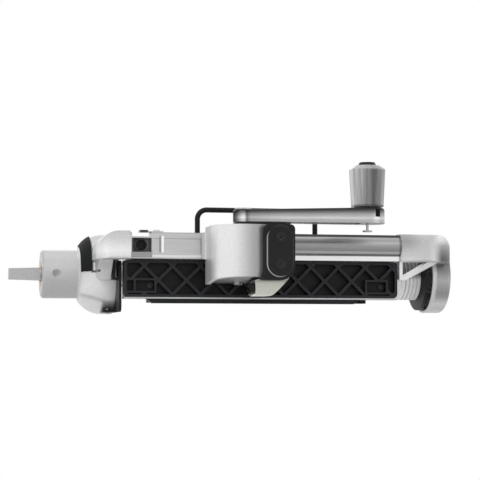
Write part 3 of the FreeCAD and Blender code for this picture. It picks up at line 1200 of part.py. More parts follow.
def knob_barrel():
    """Faceted grip, wider at the top."""
    shoulder = KNOB_TOP - KNOB_CHAMFER
    widest = polygon_ring(KNOB_TOP_R, shoulder)
    lower = Part.makeLoft([polygon_ring(KNOB_BOTTOM_R, KNOB_BOTTOM), widest], True, True)
    upper = Part.makeLoft([widest, polygon_ring(KNOB_CAP_R + KNOB_TOP_RIM, KNOB_TOP)], True, True)
    head_z = shoulder - 2 * KNOB_CAP_T
    bore = bar_z(KNOB_BOTTOM, head_z, KNOB_AXLE_R + FIT, KNOB_X, CRANK_Y)
    head_room = bar_z(head_z - FIT, KNOB_TOP, KNOB_WELL_R, KNOB_X, CRANK_Y)
    return bored(joined([lower, upper]), [bore, head_room])


def knob_cap():
    """Dark cap that closes the knob."""
    plug = bar_z(KNOB_TOP - KNOB_CAP_T, KNOB_TOP, KNOB_WELL_R - SEAT, KNOB_X, CRANK_Y)
    cap_r = KNOB_CAP_R - KNOB_CAP_BEVEL
    cap = Part.makeCone(KNOB_CAP_R, cap_r, KNOB_CAP_T, V(KNOB_X, CRANK_Y, KNOB_TOP))
    return joined([plug, cap])


# ------------------------------------------------------------------ blade carriage
def box_pocket(left, length, inset):
    """One of the rectangular pockets of the cassette, smaller by the inset."""
    low = CASSETTE_BOTTOM + BOX_FLOOR
    return block((left + inset, left + length - inset), (CASSETTE_FRONT, CASSETTE_FRONT + LATTICE_DEPTH),
                 (low + inset, low + BOX_HEIGHT - inset))


def box_lefts():
    return ((CASSETTE_LEFT + LATTICE_BORDER - BOX_WALL, LEFT_BOX_LENGTH),
            (CASSETTE_RIGHT - RIGHT_BOX_FROM_END - RIGHT_BOX_LENGTH, RIGHT_BOX_LENGTH))


def lattice_openings():
    """Diamonds between the crossing ribs, clipped to the cassette's border."""
    half = LATTICE_PITCH / 2
    reach = half - LATTICE_RIB / math.sqrt(2)
    columns = int(CASSETTE_LENGTH / half) + 2
    first = math.floor((CASSETTE_LEFT - LATTICE_PHASE_X) / half)
    diamonds = []
    for column in range(first, first + columns):
        for row in (-2, -1, 0, 1, 2):
            if (column + row) % 2 == 0:
                continue
            x = LATTICE_PHASE_X + column * half
            z = LATTICE_ROW_Z + row * half
            diamonds.append(slab([(x - reach, z), (x, z + reach), (x + reach, z), (x, z - reach)], "XZ",
                                 CASSETTE_FRONT, CASSETTE_FRONT + LATTICE_DEPTH))
    left, right = CASSETTE_LEFT + LATTICE_BORDER, CASSETTE_RIGHT - LATTICE_BORDER
    low, high = CASSETTE_BOTTOM + LATTICE_BORDER, CASSETTE_TOP - LATTICE_BORDER
    r = LATTICE_CORNER
    inner = slab([(left, low, r), (left, high, r), (right, high, r), (right, low, r)], "XZ", CASSETTE_FRONT,
                 CASSETTE_FRONT + LATTICE_DEPTH)
    frames = [box_pocket(left, length, 0.0) for left, length in box_lefts()]
    return group(diamonds).common(inner).cut(frames)


def cassette():
    """Black moulded cassette with a lattice of diamond ribs on its face."""
    r = CASSETTE_CORNER
    plate = slab([(CASSETTE_LEFT, CASSETTE_BOTTOM, r), (CASSETTE_LEFT, CASSETTE_TOP, r / 2),
                  (CASSETTE_RIGHT, CASSETTE_TOP, r / 2), (CASSETTE_RIGHT, CASSETTE_BOTTOM, r)],
                 "XZ", CASSETTE_FRONT, CASSETTE_BACK)
    left_pocket, right_pocket = [box_pocket(left, length, BOX_WALL) for left, length in box_lefts()]
    rib = box_lefts()[0][0] + BOX_RIB_PLACE
    left_pocket = left_pocket.cut(block((rib, rib + BOX_WALL), (CASSETTE_FRONT, CASSETTE_BACK),
                                        (CASSETTE_BOTTOM, CASSETTE_TOP)))
    return bored(plate, [lattice_openings(), left_pocket, right_pocket, cassette_screws(), rack_screws()])


def cassette_screws():
    """Screws on the floor of the two rectangular pockets."""
    y = CASSETTE_FRONT + LATTICE_DEPTH
    z = CASSETTE_BOTTOM + BOX_FLOOR + BOX_SCREW_HEIGHT
    inset = BOX_WALL + SMALL_HEAD_R + SCREW_EDGE
    return group(screw(left + length - inset, y, z, V(0, -1, 0), SMALL_HEAD_R, SMALL_HEAD_T, SMALL_SHANK_R,
                       CASSETTE_T - LATTICE_DEPTH + FRAME_T) for left, length in box_lefts())


def carriage_frame():
    """Metal frame: plate behind the cassette, beam behind the rail and the lugs on the rods."""
    plate = block((CASSETTE_LEFT, CASSETTE_RIGHT), (CASSETTE_BACK, FRAME_BACK),
                  (CASSETTE_BOTTOM, CASSETTE_TOP))
    neck = block((BEAM_LEFT, CASSETTE_RIGHT), (BEAM_FRONT, FRAME_BACK),
                 (CASSETTE_TOP - NECK_OVERLAP, BEAM_BOTTOM))
    r = BEAM_CORNER
    beam = slab([(BEAM_FRONT, BEAM_BOTTOM), (BEAM_FRONT, BEAM_TOP, r), (BEAM_BACK, BEAM_TOP, r),
                 (BEAM_BACK, BEAM_BOTTOM, r)], "YZ", BEAM_LEFT, CASSETTE_RIGHT)
    lugs = [bar_y(BEAM_FRONT, LUG_BACK, LUG_R, x, GUIDE_ROD_Z) for x in ROD_X]
    bores = [bar_y(BEAM_FRONT, LUG_BACK, GUIDE_BUSH_R, x, GUIDE_ROD_Z) for x in ROD_X]
    return bored(joined([plate, neck, beam] + lugs), bores + [cassette_screws()])


def guide_bushes():
    return group(bar_y(BEAM_FRONT, LUG_BACK, GUIDE_BUSH_R, x, GUIDE_ROD_Z).cut(
        bar_y(BEAM_FRONT, LUG_BACK, GUIDE_ROD_R + FIT, x, GUIDE_ROD_Z)) for x in ROD_X)


def pressure_strip():
    """Steel strip under the cassette."""
    return block((CASSETTE_LEFT, CASSETTE_RIGHT), (CASSETTE_FRONT, FRAME_BACK),
                 (STRIP_BOTTOM, CASSETTE_BOTTOM))


def pressure_bar():
    """Black bar under the strip, bevelled at both ends, that the sheet runs over."""
    right = BAR_LEFT + BAR_LENGTH
    return slab([(BAR_LEFT, STRIP_BOTTOM), (right, STRIP_BOTTOM), (right - BAR_BEVEL, BAR_BOTTOM),
                 (BAR_LEFT + BAR_BEVEL, BAR_BOTTOM)], "XZ", CASSETTE_FRONT + BAR_SETBACK,
                CASSETTE_FRONT + BAR_SETBACK + BAR_DEPTH)


def blade():
    """Straight blade on edge, ground on the side away from the food."""
    back = BLADE_FRONT + BLADE_T
    return slab([(BLADE_FRONT, HOLDER_BAR_TOP), (BLADE_FRONT, BLADE_EDGE_Z - BLADE_BEVEL),
                 (back - BLADE_EDGE_T, BLADE_EDGE_Z), (back, BLADE_EDGE_Z), (back, HOLDER_BAR_TOP)], "YZ",
                BLADE_LEFT, BLADE_LEFT + BLADE_LENGTH)


def blade_holder():
    """Black bar that the blade stands on, hung from the frame by a cheek at each end."""
    left = BLADE_LEFT - RUN_GAP
    right = BLADE_LEFT + BLADE_LENGTH + RUN_GAP
    ledge = BLADE_FRONT + BLADE_T
    back = BLADE_FRONT + HOLDER_BAR_DEPTH
    low, top = HOLDER_BAR_BOTTOM, HOLDER_BAR_TOP
    lip = top + HOLDER_LIP
    bar = slab([(BLADE_FRONT, low), (BLADE_FRONT, top), (ledge, top), (ledge, lip),
                (back, lip - HOLDER_LIP_SLOPE), (back, low)], "YZ", left, right)
    cheeks = [block((x, x + CHEEK_T), (FRAME_BACK, back), (low, low + CHEEK_HEIGHT))
              for x in (left - CHEEK_T, right)]
    return joined([bar] + cheeks)


def feed_rack():
    """Toothed rack that the pinion drives, with the foot that holds it to the cassette."""
    pitch = math.pi * FEED_MODULE
    slope = math.tan(math.radians(PRESSURE_ANGLE))
    half = (pitch / 2 - BACKLASH) / 2
    tip_x, root_x = RACK_X - ADDENDUM * FEED_MODULE, RACK_X + DEDENDUM * FEED_MODULE
    tip_half, root_half = half - ADDENDUM * FEED_MODULE * slope, half + DEDENDUM * FEED_MODULE * slope
    step = 2 * math.pi / FEED_TEETH
    tooth_angle = math.radians(PINION_ANGLE) + math.pi + step / 2
    offset = (tooth_angle + step / 2) % step - step / 2
    gap_y = PINION_Y + FEED_PITCH_R * offset
    back = CASSETTE_FRONT - RACK_FOOT_T
    count = math.floor((gap_y - RACK_FRONT) / pitch)
    y = gap_y - (count - 0.5) * pitch
    edge = [(root_x, RACK_FRONT)]
    while y + root_half < back:
        edge += [(root_x, y - root_half), (tip_x, y - tip_half), (tip_x, y + tip_half),
                 (root_x, y + root_half)]
        y += pitch
    edge += [(root_x, back), (RACK_RIGHT, back), (RACK_RIGHT, RACK_FRONT)]
    rack = slab(edge, "XY", FEED_BOTTOM, FEED_TOP)
    foot = block((RACK_X, RACK_RIGHT + RACK_FOOT_SIDE), (back, CASSETTE_FRONT),
                 (FEED_TOP - RACK_FOOT_HEIGHT, FEED_TOP))
    return joined([rack, foot]).cut(rack_screws())


def rack_screws():
    y = CASSETTE_FRONT - RACK_FOOT_T
    places = ((RACK_RIGHT + RACK_FOOT_SIDE / 2, FEED_TOP - RACK_FOOT_HEIGHT / 2),
              (RACK_X + RACK_DEPTH / 2, FEED_TOP - RACK_FOOT_HEIGHT + SMALL_HEAD_R + SCREW_EDGE))
    return group(screw(x, y, z, V(0, -1, 0), SMALL_HEAD_R, SMALL_HEAD_T, SMALL_SHANK_R,
                       RACK_FOOT_T + RACK_SCREW_GRIP) for x, z in places)


PIECES = (gear_housing, gear_cover, collar_pad, input_bush, spindle_bush, idler_pin, guide_plate,
          guide_plate_screw, rail, pocket_insert, rod_clip, clip_screw, guide_rods, flange_bolts, wire_hoop,
          end_bracket, end_cap, drum_housing, crank_bush, pinion_pin, undercover, undercover_screw, drum_lid,
          rack_cover, rack_cover_plate, rack_cover_screws, cover_lip,
          power_shaft, input_gear, idler_cluster, output_gear, food_spindle, food_holder, food_skewer,
          tail_sleeve, tail_spring, tail_collar, tail_disc,
          crank_arm, crank_shaft, crank_gear, knob_axle, knob_barrel, knob_cap, rack_pinion,
          cassette, cassette_screws, carriage_frame, guide_bushes, pressure_strip, pressure_bar, blade,
          blade_holder, feed_rack, rack_screws)

if __name__ == "__main__":
    os.makedirs("parts", exist_ok=True)
    for piece in PIECES:
        piece().exportStep(os.path.join("parts", piece.__name__ + ".step"))
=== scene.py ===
import bpy
import bmesh
import json
import math
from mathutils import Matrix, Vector

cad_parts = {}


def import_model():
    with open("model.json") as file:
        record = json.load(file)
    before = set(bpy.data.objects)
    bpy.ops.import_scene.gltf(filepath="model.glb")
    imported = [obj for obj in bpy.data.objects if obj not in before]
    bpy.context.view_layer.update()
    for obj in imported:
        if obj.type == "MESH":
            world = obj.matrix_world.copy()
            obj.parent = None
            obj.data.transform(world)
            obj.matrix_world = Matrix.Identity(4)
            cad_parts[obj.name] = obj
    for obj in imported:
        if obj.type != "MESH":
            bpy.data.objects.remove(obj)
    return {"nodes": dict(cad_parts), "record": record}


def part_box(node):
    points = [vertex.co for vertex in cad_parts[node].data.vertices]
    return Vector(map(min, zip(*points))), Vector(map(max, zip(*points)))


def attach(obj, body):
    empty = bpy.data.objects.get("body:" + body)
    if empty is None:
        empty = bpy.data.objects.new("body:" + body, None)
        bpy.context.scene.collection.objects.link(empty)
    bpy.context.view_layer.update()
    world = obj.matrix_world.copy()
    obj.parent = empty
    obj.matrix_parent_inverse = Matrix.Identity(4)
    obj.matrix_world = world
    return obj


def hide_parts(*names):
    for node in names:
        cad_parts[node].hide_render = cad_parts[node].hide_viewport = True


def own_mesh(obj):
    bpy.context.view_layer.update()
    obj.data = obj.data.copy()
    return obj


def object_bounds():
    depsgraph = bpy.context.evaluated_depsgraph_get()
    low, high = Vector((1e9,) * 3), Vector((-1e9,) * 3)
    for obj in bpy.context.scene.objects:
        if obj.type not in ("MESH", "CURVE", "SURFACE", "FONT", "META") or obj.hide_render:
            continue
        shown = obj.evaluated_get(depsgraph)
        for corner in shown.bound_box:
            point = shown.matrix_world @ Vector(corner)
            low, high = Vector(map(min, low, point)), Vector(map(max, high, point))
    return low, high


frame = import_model()
cad_low, cad_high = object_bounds()

MM = 0.001

# ------------------------------------------------------------------ view and light
VIEW_AZIMUTH = -12.3         # degrees, from the front towards the drive end
VIEW_ELEVATION = -3.2
VIEW_DISTANCE = 1.134
VIEW_CENTRE = (0.115, -0.040, 0.015)
LENS = 131.0                 # millimetres, on a sensor this wide
SENSOR = 36.0
VIEW_NEAR = 0.05
VIEW_FAR = 50.0
FLOOR_DROP = 0.27            # the part hangs from a hub this far above the floor
FLOOR_R = 5.0
FLOOR_NEAR = 0.35            # the floor fades from its own colour to white between these radii
FLOOR_FAR = 1.6
FLOOR_COLOUR = (0.86, 0.86, 0.86)
AMBIENT = 0.62               # radiance of the world on the part; the backdrop itself is white

# name, place, size, radiance
LAMPS = (
    ("key", (-0.70, -1.30, 1.05), 1.3, 1.15),
    ("fill", (1.35, -1.05, 0.25), 1.1, 0.50),
    ("top", (0.15, 0.10, 1.40), 1.2, 0.45),
    ("back", (0.30, 1.40, 0.60), 1.2, 0.60),
)

# ------------------------------------------------------------------ colours
ALUMINIUM = (0.70, 0.70, 0.695)
SPIGOT_METAL = (0.58, 0.58, 0.58)
RAIL_METAL = (0.56, 0.56, 0.565)
ARM_METAL = (0.64, 0.64, 0.64)
CRANK_METAL = (0.60, 0.60, 0.60)
COLLAR_METAL = (0.93, 0.93, 0.93)
STEEL = (0.48, 0.48, 0.49)
BLADE_STEEL = (0.60, 0.60, 0.61)
SPRING_STEEL = (0.34, 0.34, 0.35)
DULL_STEEL = (0.045, 0.045, 0.047)
BRONZE = (0.52, 0.35, 0.17)
TRIM = (0.98, 1.0, 0.88)
BLACK = (0.011, 0.0115, 0.013)
BLACK_GLOSS = (0.008, 0.008, 0.009)
RUBBER = (0.010, 0.011, 0.011)
WIRE_BLACK = (0.006, 0.006, 0.0065)
# Painted glints on the rims and sockets of the plate's screws.
GLINT_BLACK = (0.17, 0.17, 0.17)
# Painted highlight on the plate's bevel.
BEVEL_HIGHLIGHT = (0.48, 0.48, 0.49)
SHADOW = (0.05, 0.05, 0.05)  # in seams and under edges

# ------------------------------------------------------------------ grain
CAST_METALLIC = 0.6
PLAIN_GRAIN = 900.0          # grains per metre
POLISHED_GRAIN = 700.0
BRUSHED_GRAIN = 1500.0
CUT_GRAIN = 1300.0
GROUND_GRAIN = 2200.0
BRONZE_GRAIN = 1600.0
MOULD_GRAIN = 1500.0
RUBBER_GRAIN = 1100.0
ALONG_RAIL = (0.04, 1.0, 1.0)    # the grain is drawn out along the axis with the small share
ALONG_CRANK = (0.05, 1.0, 1.0)
UP_KNOB = (1.0, 1.0, 0.03)
ACROSS_BLADE = (1.0, 1.0, 0.05)
SMOOTH_ANGLE = math.radians(32.0)

# ------------------------------------------------------------------ painted reflections and shade
# Painted reflections and shade: polished metal shows a room as soft bands, and these are painted into the
# colour. Each stop is (place, brightness).
# Along the height, places are millimetres above the hub axis.
RAIL_PAINTED_BANDS = ((8.0, 0.86), (11.0, 0.84), (11.5, 0.22), (12.3, 0.22), (13.0, 0.50), (13.8, 0.52),
              (14.6, 0.31), (18.0, 0.33), (19.6, 0.48), (20.4, 0.46), (21.2, 0.38), (23.2, 0.40),
              (23.6, 0.05), (25.2, 0.05))
HOUSING_PAINTED_BANDS = ((-26.0, 0.96), (-20.0, 0.95), (-16.0, 0.90), (-12.0, 0.95), (-8.0, 0.94), (-4.0, 0.84),
                 (0.0, 0.78), (5.0, 0.64), (8.0, 0.70), (10.0, 0.84), (13.0, 0.94), (15.0, 0.90),
                 (18.0, 0.80), (22.0, 0.66), (25.5, 0.50))
BRACKET_PAINTED_BANDS = ((8.0, 0.84), (9.5, 0.78), (11.0, 0.70), (14.0, 0.64), (16.0, 0.58), (18.0, 0.50),
                 (21.0, 0.43), (24.5, 0.46), (26.0, 0.34))
RING_PAINTED_BANDS = ((-24.5, 0.80), (-22.0, 0.66), (-18.4, 0.74), (-14.0, 0.40), (-11.5, 0.35), (-7.0, 0.42),
              (-3.2, 0.47), (2.4, 0.29), (6.5, 0.23), (10.0, 0.12), (12.0, 0.17), (16.0, 0.30),
              (19.0, 0.44), (22.0, 0.80), (25.0, 0.95))
LIP_PAINTED_BANDS = ((-16.0, 0.84), (-11.0, 0.76), (-9.0, 0.66), (-7.0, 0.36), (-5.0, 0.30), (-2.5, 0.34))
# Across, places are millimetres along the rail.
DRUM_PAINTED_BANDS = ((73.4, 0.56), (75.2, 0.74), (76.4, 0.96), (80.0, 0.96), (84.0, 0.90), (88.8, 0.80),
              (91.4, 0.72), (94.1, 0.64), (96.8, 0.54), (99.5, 0.42), (101.0, 0.39), (104.0, 0.42),
              (118.6, 0.60))
POCKET_PAINTED_BANDS = ((28.8, 0.20), (29.8, 0.11), (31.0, 0.055), (33.0, 0.035), (36.5, 0.05), (38.0, 0.15),
                (39.6, 0.15), (40.4, 0.09), (41.4, 0.09))
# Painted dark reflection down the crank's face from its upper edge, and painted shade and highlight from
# the boss's end towards the knob.
CRANK_PAINTED_BANDS = ((0.0, 0.03), (1.0, 0.045), (1.7, 0.09), (2.3, 0.16), (3.0, 0.25), (3.6, 0.35), (4.2, 0.42),
               (4.9, 0.48), (5.5, 0.58), (6.1, 0.69), (6.8, 0.60), (7.4, 0.48), (9.0, 0.46))
BOSS_PAINTED_BANDS = ((0.0, 0.14), (0.5, 0.11), (0.9, 0.20), (1.5, 0.34), (2.1, 0.52), (2.7, 0.74), (3.9, 1.10),
              (5.1, 1.40), (6.3, 1.33), (6.9, 0.70), (7.5, 0.34), (8.1, 0.46), (8.8, 0.60), (10.2, 0.78),
              (20.0, 0.88), (30.0, 1.0))
# Round the knob, places are degrees from +X towards +Y.
KNOB_PAINTED_BANDS = ((-180, 0.60), (-157, 0.55), (-147, 0.58), (-138, 0.50), (-130, 0.45), (-122, 0.49),
              (-115, 0.41), (-108, 0.26), (-101, 0.27), (-95, 0.28), (-88, 0.17), (-80, 0.15), (-73, 0.21),
              (-65, 0.23), (-56, 0.27), (-45, 0.34), (-28, 0.50), (-10, 0.30), (12, 0.16), (30, 0.42),
              (55, 0.20), (78, 0.50), (96, 0.18), (118, 0.40), (140, 0.20), (160, 0.46), (180, 0.60))

# ------------------------------------------------------------------ painted shade, highlights and other tone limits
# Places are millimetres along the rail, heights are millimetres above the hub axis.
RAIL_ROUND_FROM = 118.0      # the rail is flat up to here and rounded from here on
RAIL_LEDGE_HIGHLIGHT = (0.0, 10.4)     # heights of the lower strip with a painted highlight
RAIL_SEAM = (204.8, 207.0)   # where the rail meets the end bracket
# Painted shade at a recess wall, under the pocket and along the top edge, and a painted highlight on a
# rib: (places along the rail, heights, tone).
RAIL_SHADE_AND_HIGHLIGHTS = (((46.6, 47.5), (12.5, 22.5), 0.34), ((47.9, 49.1), (12.5, 22.5), 0.95),
              ((28.3, 41.6), (9.2, 12.4), 0.33), ((28.3, 120.0), (24.4, 26.0), 0.36))
# Painted shade in a small slot in the nose.
NOSE_SLOT_SHADE = ((6.9, 10.6), (0.5, 1.5))
NOSE_FOLD_SHADE = (1.4, 14.5)      # painted shade along a fold: the fold's two ends, then its slope and its height at the hub's shoulder
NOSE_FOLD_SLOPE = -0.30
NOSE_FOLD_HEIGHT = -13.4
SPIGOT_END = (-1.5, 0.0)     # the spigot's tone ends between these places
ARM_PALE = (212.0, 222.0)    # the bracket's arm turns pale between these
RING_START = (229.0, 235.0)  # its ring's bands begin between these
CRANK_TOP = (38.4, 40.8)     # heights of the crank's upper edge at its two ends
# Painted shade in a slot near the crank's end: its places along the rail and heights, then the depths it
# reaches.
CRANK_SLOT_SHADE = ((179.6, 182.6), (34.8, 39.6))
CRANK_SLOT_SHADE_DEPTH = (-90.0, -78.0)
CLIP_DARK_END = (39.0, 40.0)     # the clip is dark up to here and pale from here on
COLLAR_SHADE = (-2.5, 1.0)   # the bracket shades the collar above these heights
POCKET_HOLE_SHADE = (3.2, 3.9)     # radii between which the painted shade of the rod's hole fades into the lining
ROD_R = 3.0


# ------------------------------------------------------------------ shader graphs
class Graph:
    """Adds and links the shader nodes of one material."""

    def __init__(self, name):
        self.material = bpy.data.materials.new(name)
        self.material.use_nodes = True
        self.tree = self.material.node_tree
        self.shader = self.tree.nodes["Principled BSDF"]
        self.place = self.tree.nodes.new("ShaderNodeTexCoord").outputs["Object"]
        self.axes = self.add("ShaderNodeSeparateXYZ", {"Vector": self.place}).outputs

    def add(self, kind, sockets=(), **settings):
        """New node with its settings and with values or links on its input sockets."""
        node = self.tree.nodes.new(kind)
        for name, value in settings.items():
            setattr(node, name, value)
        for name, value in dict(sockets).items():
            self.put(node, name, value)
        return node

    def put(self, node, name, value):
        if isinstance(value, bpy.types.NodeSocket):
            self.tree.links.new(value, node.inputs[name])
        else:
            node.inputs[name].default_value = value

    def noise(self, scale, stretch=(1.0, 1.0, 1.0), detail=3.0):
        """Noise in the part's own frame: grains per metre, times the stretch along each axis."""
        mapping = self.add("ShaderNodeMapping", {"Vector": self.place, "Scale": stretch})
        texture = self.add("ShaderNodeTexNoise", {"Vector": mapping.outputs["Vector"], "Scale": scale,
                                                  "Detail": detail})
        return texture.outputs["Fac"]

    def span(self, value, low, high, from_low=0.3, from_high=0.7):
        """The value moved, and held, from one range (from_low, from_high) to another (low, high)."""
        node = self.add("ShaderNodeMapRange", {"Value": value, "From Min": from_low, "From Max": from_high,
                                               "To Min": low, "To Max": high})
        return node.outputs["Result"]

    def math(self, operation, a, b=0.0):
        node = self.add("ShaderNodeMath", {0: a, 1: b}, operation=operation)
        return node.outputs["Value"]

    def mix(self, share, a, b, blend_type="MIX"):
        """Colour a turning into colour b."""
        node = self.add("ShaderNodeMix", data_type="RGBA", blend_type=blend_type)
        for index, value in ((0, share), (6, a), (7, b)):
            if isinstance(value, tuple):
                value = (*value, 1.0)
            if isinstance(value, bpy.types.NodeSocket):
                self.tree.links.new(value, node.inputs[index])
            else:
                node.inputs[index].default_value = value
        return node.outputs[2]

    def bands(self, value, stops):
        """Grey that follows the stops (place, brightness) along the value."""
        first, last = stops[0][0], stops[-1][0]
        share = self.span(value, 0.0, 1.0, first, last)
        node = self.add("ShaderNodeValToRGB", {"Fac": share})
        ramp = node.color_ramp
        while len(ramp.elements) < len(stops):
            ramp.elements.new(0.5)
        for element, (place, tone) in zip(ramp.elements, stops):
            element.position = (place - first) / (last - first)
            element.color = (tone, tone, tone, 1.0)
        return node.outputs["Color"]

    def inside(self, axis, low, high, soft):
        """1 between two places along an axis, in millimetres, with soft ends outside them."""
        rise = self.span(self.axes[axis], 0.0, 1.0, (low - soft) * MM, low * MM)
        fall = self.span(self.axes[axis], 1.0, 0.0, high * MM, (high + soft) * MM)
        return self.math("MULTIPLY", rise, fall)

    def millimetres(self, axis):
        return self.math("DIVIDE", self.axes[axis], MM)

    def past(self, axis, places, low=0.0, high=1.0):
        """Goes from low to high between two places along an axis, in millimetres."""
        return self.span(self.axes[axis], low, high, places[0] * MM, places[1] * MM)

    def patch(self, x, z, soft=0.4):
        """1 on a rectangle of the front, given as two places along the rail and two heights."""
        return self.math("MULTIPLY", self.inside("X", *x, soft), self.inside("Z", *z, soft))

    def facing(self, direction, low, high):
        """1 where the surface faces the direction, 0 where it turns away, in the part's own frame."""
        normal = self.tree.nodes["Texture Coordinate"].outputs["Normal"]
        dot = self.add("ShaderNodeVectorMath", {0: normal, 1: Vector(direction).normalized()},
                       operation="DOT_PRODUCT")
        return self.span(dot.outputs["Value"], 0.0, 1.0, low, high)

    def rounded(self, radius):
        """Normal with softened edges."""
        return self.add("ShaderNodeBevel", {"Radius": radius}, samples=6).outputs["Normal"]

    def edges(self, radius, low=0.03, high=0.22):
        """1 along convex and concave edges, 0 on open faces."""
        true = self.add("ShaderNodeNewGeometry").outputs["Normal"]
        dot = self.add("ShaderNodeVectorMath", {0: self.rounded(radius), 1: true}, operation="DOT_PRODUCT")
        away = self.math("SUBTRACT", 1.0, dot.outputs["Value"])
        return self.span(away, 0.0, 1.0, low, high)

    def bump(self, height, distance, strength, normal):
        node = self.add("ShaderNodeBump", {"Height": height, "Distance": distance, "Strength": strength,
                                           "Normal": normal})
        return node.outputs["Normal"]

    def finish(self, **sockets):
        """Sets or links the shader's sockets; an underscore stands for a space."""
        for name, value in sockets.items():
            if isinstance(value, tuple) and len(value) == 3:
                value = (*value, 1.0)
            self.put(self.shader, name.replace("_", " "), value)
        return self.material


def shade(colour, factor):
    return tuple(min(1.0, channel * factor) for channel in colour)


def worked(g, body, tone, roughness, grain=(1.0, 1.0, 1.0), grain_scale=POLISHED_GRAIN, depth=0.000006,
           edge=0.35 * MM, smudge=0.07, metallic=1.0, wear=0.35):
    """Finishes a metal: grain or brushing, faint smudges, and edges made brighter as wear and as painted
    highlight.
    """
    cloud = g.noise(26.0, detail=4.0)
    fine = g.noise(grain_scale, grain, 3.0)
    wear_and_highlight_edges = g.edges(2.0 * edge)
    body = g.mix(g.span(cloud, 0.0, 1.0), g.mix(1.0, body, (1.0 - smudge,) * 3, "MULTIPLY"), body)
    body = g.mix(g.span(fine, 0.0, 0.10), body, (0.0, 0.0, 0.0))
    body = g.mix(g.math("MULTIPLY", wear_and_highlight_edges, wear), body, tone)
    rough = g.math("ADD", g.span(cloud, roughness * 0.88, roughness * 1.12), g.span(fine, -0.03, 0.03))
    normal = g.bump(fine, depth, 0.25, g.rounded(edge))
    return g.finish(Base_Color=body, Metallic=metallic, Roughness=rough, Normal=normal)


def metal(name, colour, roughness, **options):
    return worked(Graph(name), colour, shade(colour, 1.3), roughness, **options)


def moulded(g, body, tone, roughness, grain_scale=MOULD_GRAIN, depth=0.000012, edge=0.3 * MM,
            specular=0.2, coat=0.0, wear=0.45):
    """Finishes a plastic: spark-eroded grain, edges made paler as wear and as painted highlight, and a
    little dust.
    """
    cloud = g.noise(35.0, detail=4.0)
    fine = g.noise(grain_scale, detail=2.0)
    dust = g.noise(620.0, detail=5.0)
    wear_and_highlight_edges = g.edges(2.0 * edge)
    body = g.mix(g.span(cloud, 0.0, 0.35), body, (0.0, 0.0, 0.0))
    body = g.mix(g.math("MULTIPLY", g.span(dust, 0.0, 1.0, 0.62, 0.74), 0.2), body, tone)
    body = g.mix(g.math("MULTIPLY", wear_and_highlight_edges, wear), body, tone)
    rough = g.math("ADD", g.span(cloud, roughness - 0.05, roughness + 0.05), g.span(fine, -0.04, 0.04))
    normal = g.bump(fine, depth, 0.35, g.rounded(edge))
    return g.finish(Base_Color=body, Roughness=rough, Normal=normal, Coat_Weight=coat,
                    Specular_IOR_Level=specular)


def plastic(name, colour, roughness, **options):
    return moulded(Graph(name), shade(colour, 1.25), shade(colour, 3.4), roughness, **options)


def cast_aluminium():
    return metal("cast_aluminium", ALUMINIUM, 0.42, grain_scale=PLAIN_GRAIN, metallic=CAST_METALLIC,
                 wear=0.15)


def banded_cast(name, body_of):
    """Cast aluminium whose tone follows the given bands of painted reflection and shade, but for its back.
    """
    g = Graph(name)
    body = g.mix(g.facing((0, -1, 0), -0.3, 0.2), ALUMINIUM, body_of(g))
    return worked(g, body, shade(ALUMINIUM, 1.3), 0.42, grain_scale=PLAIN_GRAIN, metallic=CAST_METALLIC,
                  wear=0.15)


def housing_metal():
    """Polished casting with painted reflections, brightest along the middle of its arm and at the bottom
    of its nose, and painted shade in a slot and along a fold of its nose.
    """
    def body_of(g):
        body = g.bands(g.millimetres("Z"), HOUSING_PAINTED_BANDS)
        body = g.mix(g.patch(*NOSE_SLOT_SHADE), body, (0.12, 0.12, 0.12))
        line = g.math("MULTIPLY", g.millimetres("X"), NOSE_FOLD_SLOPE)
        above = g.math("SUBTRACT", g.math("SUBTRACT", g.millimetres("Z"), NOSE_FOLD_HEIGHT), line)
        fold = g.span(g.math("ABSOLUTE", above), 1.0, 0.0, 0.2, 2.0)
        fold = g.math("MULTIPLY", fold, g.inside("X", *NOSE_FOLD_SHADE, 2.0))
        body = g.mix(g.math("MULTIPLY", fold, 0.30), body, (0.10, 0.10, 0.10))
        return g.mix(g.past("X", SPIGOT_END, 1.0, 0.0), body, SPIGOT_METAL)
    return banded_cast("housing_metal", body_of)


def drum_metal():
    """Polished drum with painted shade that darkens it towards its right side."""
    return banded_cast("drum_metal", lambda g: g.bands(g.millimetres("X"), DRUM_PAINTED_BANDS))


def ring_metal():
    """Polished ring and dome with painted reflections: lighter and darker bands over their height."""
    return banded_cast("ring_metal", lambda g: g.bands(g.millimetres("Z"), RING_PAINTED_BANDS))


def bracket_metal():
    """Polished arm with painted reflections and shade that lighten it downwards and to the right, and its
    ring with painted bands.
    """
    def body_of(g):
        arm = g.bands(g.millimetres("Z"), BRACKET_PAINTED_BANDS)
        arm = g.mix(g.past("X", ARM_PALE, 0.0, 0.8), arm, ARM_METAL)
        return g.mix(g.past("X", RING_START), arm, g.bands(g.millimetres("Z"), RING_PAINTED_BANDS))
    return banded_cast("bracket_metal", body_of)


def satin_aluminium():
    return metal("satin_aluminium", RAIL_METAL, 0.36, grain=ALONG_RAIL, grain_scale=BRUSHED_GRAIN)


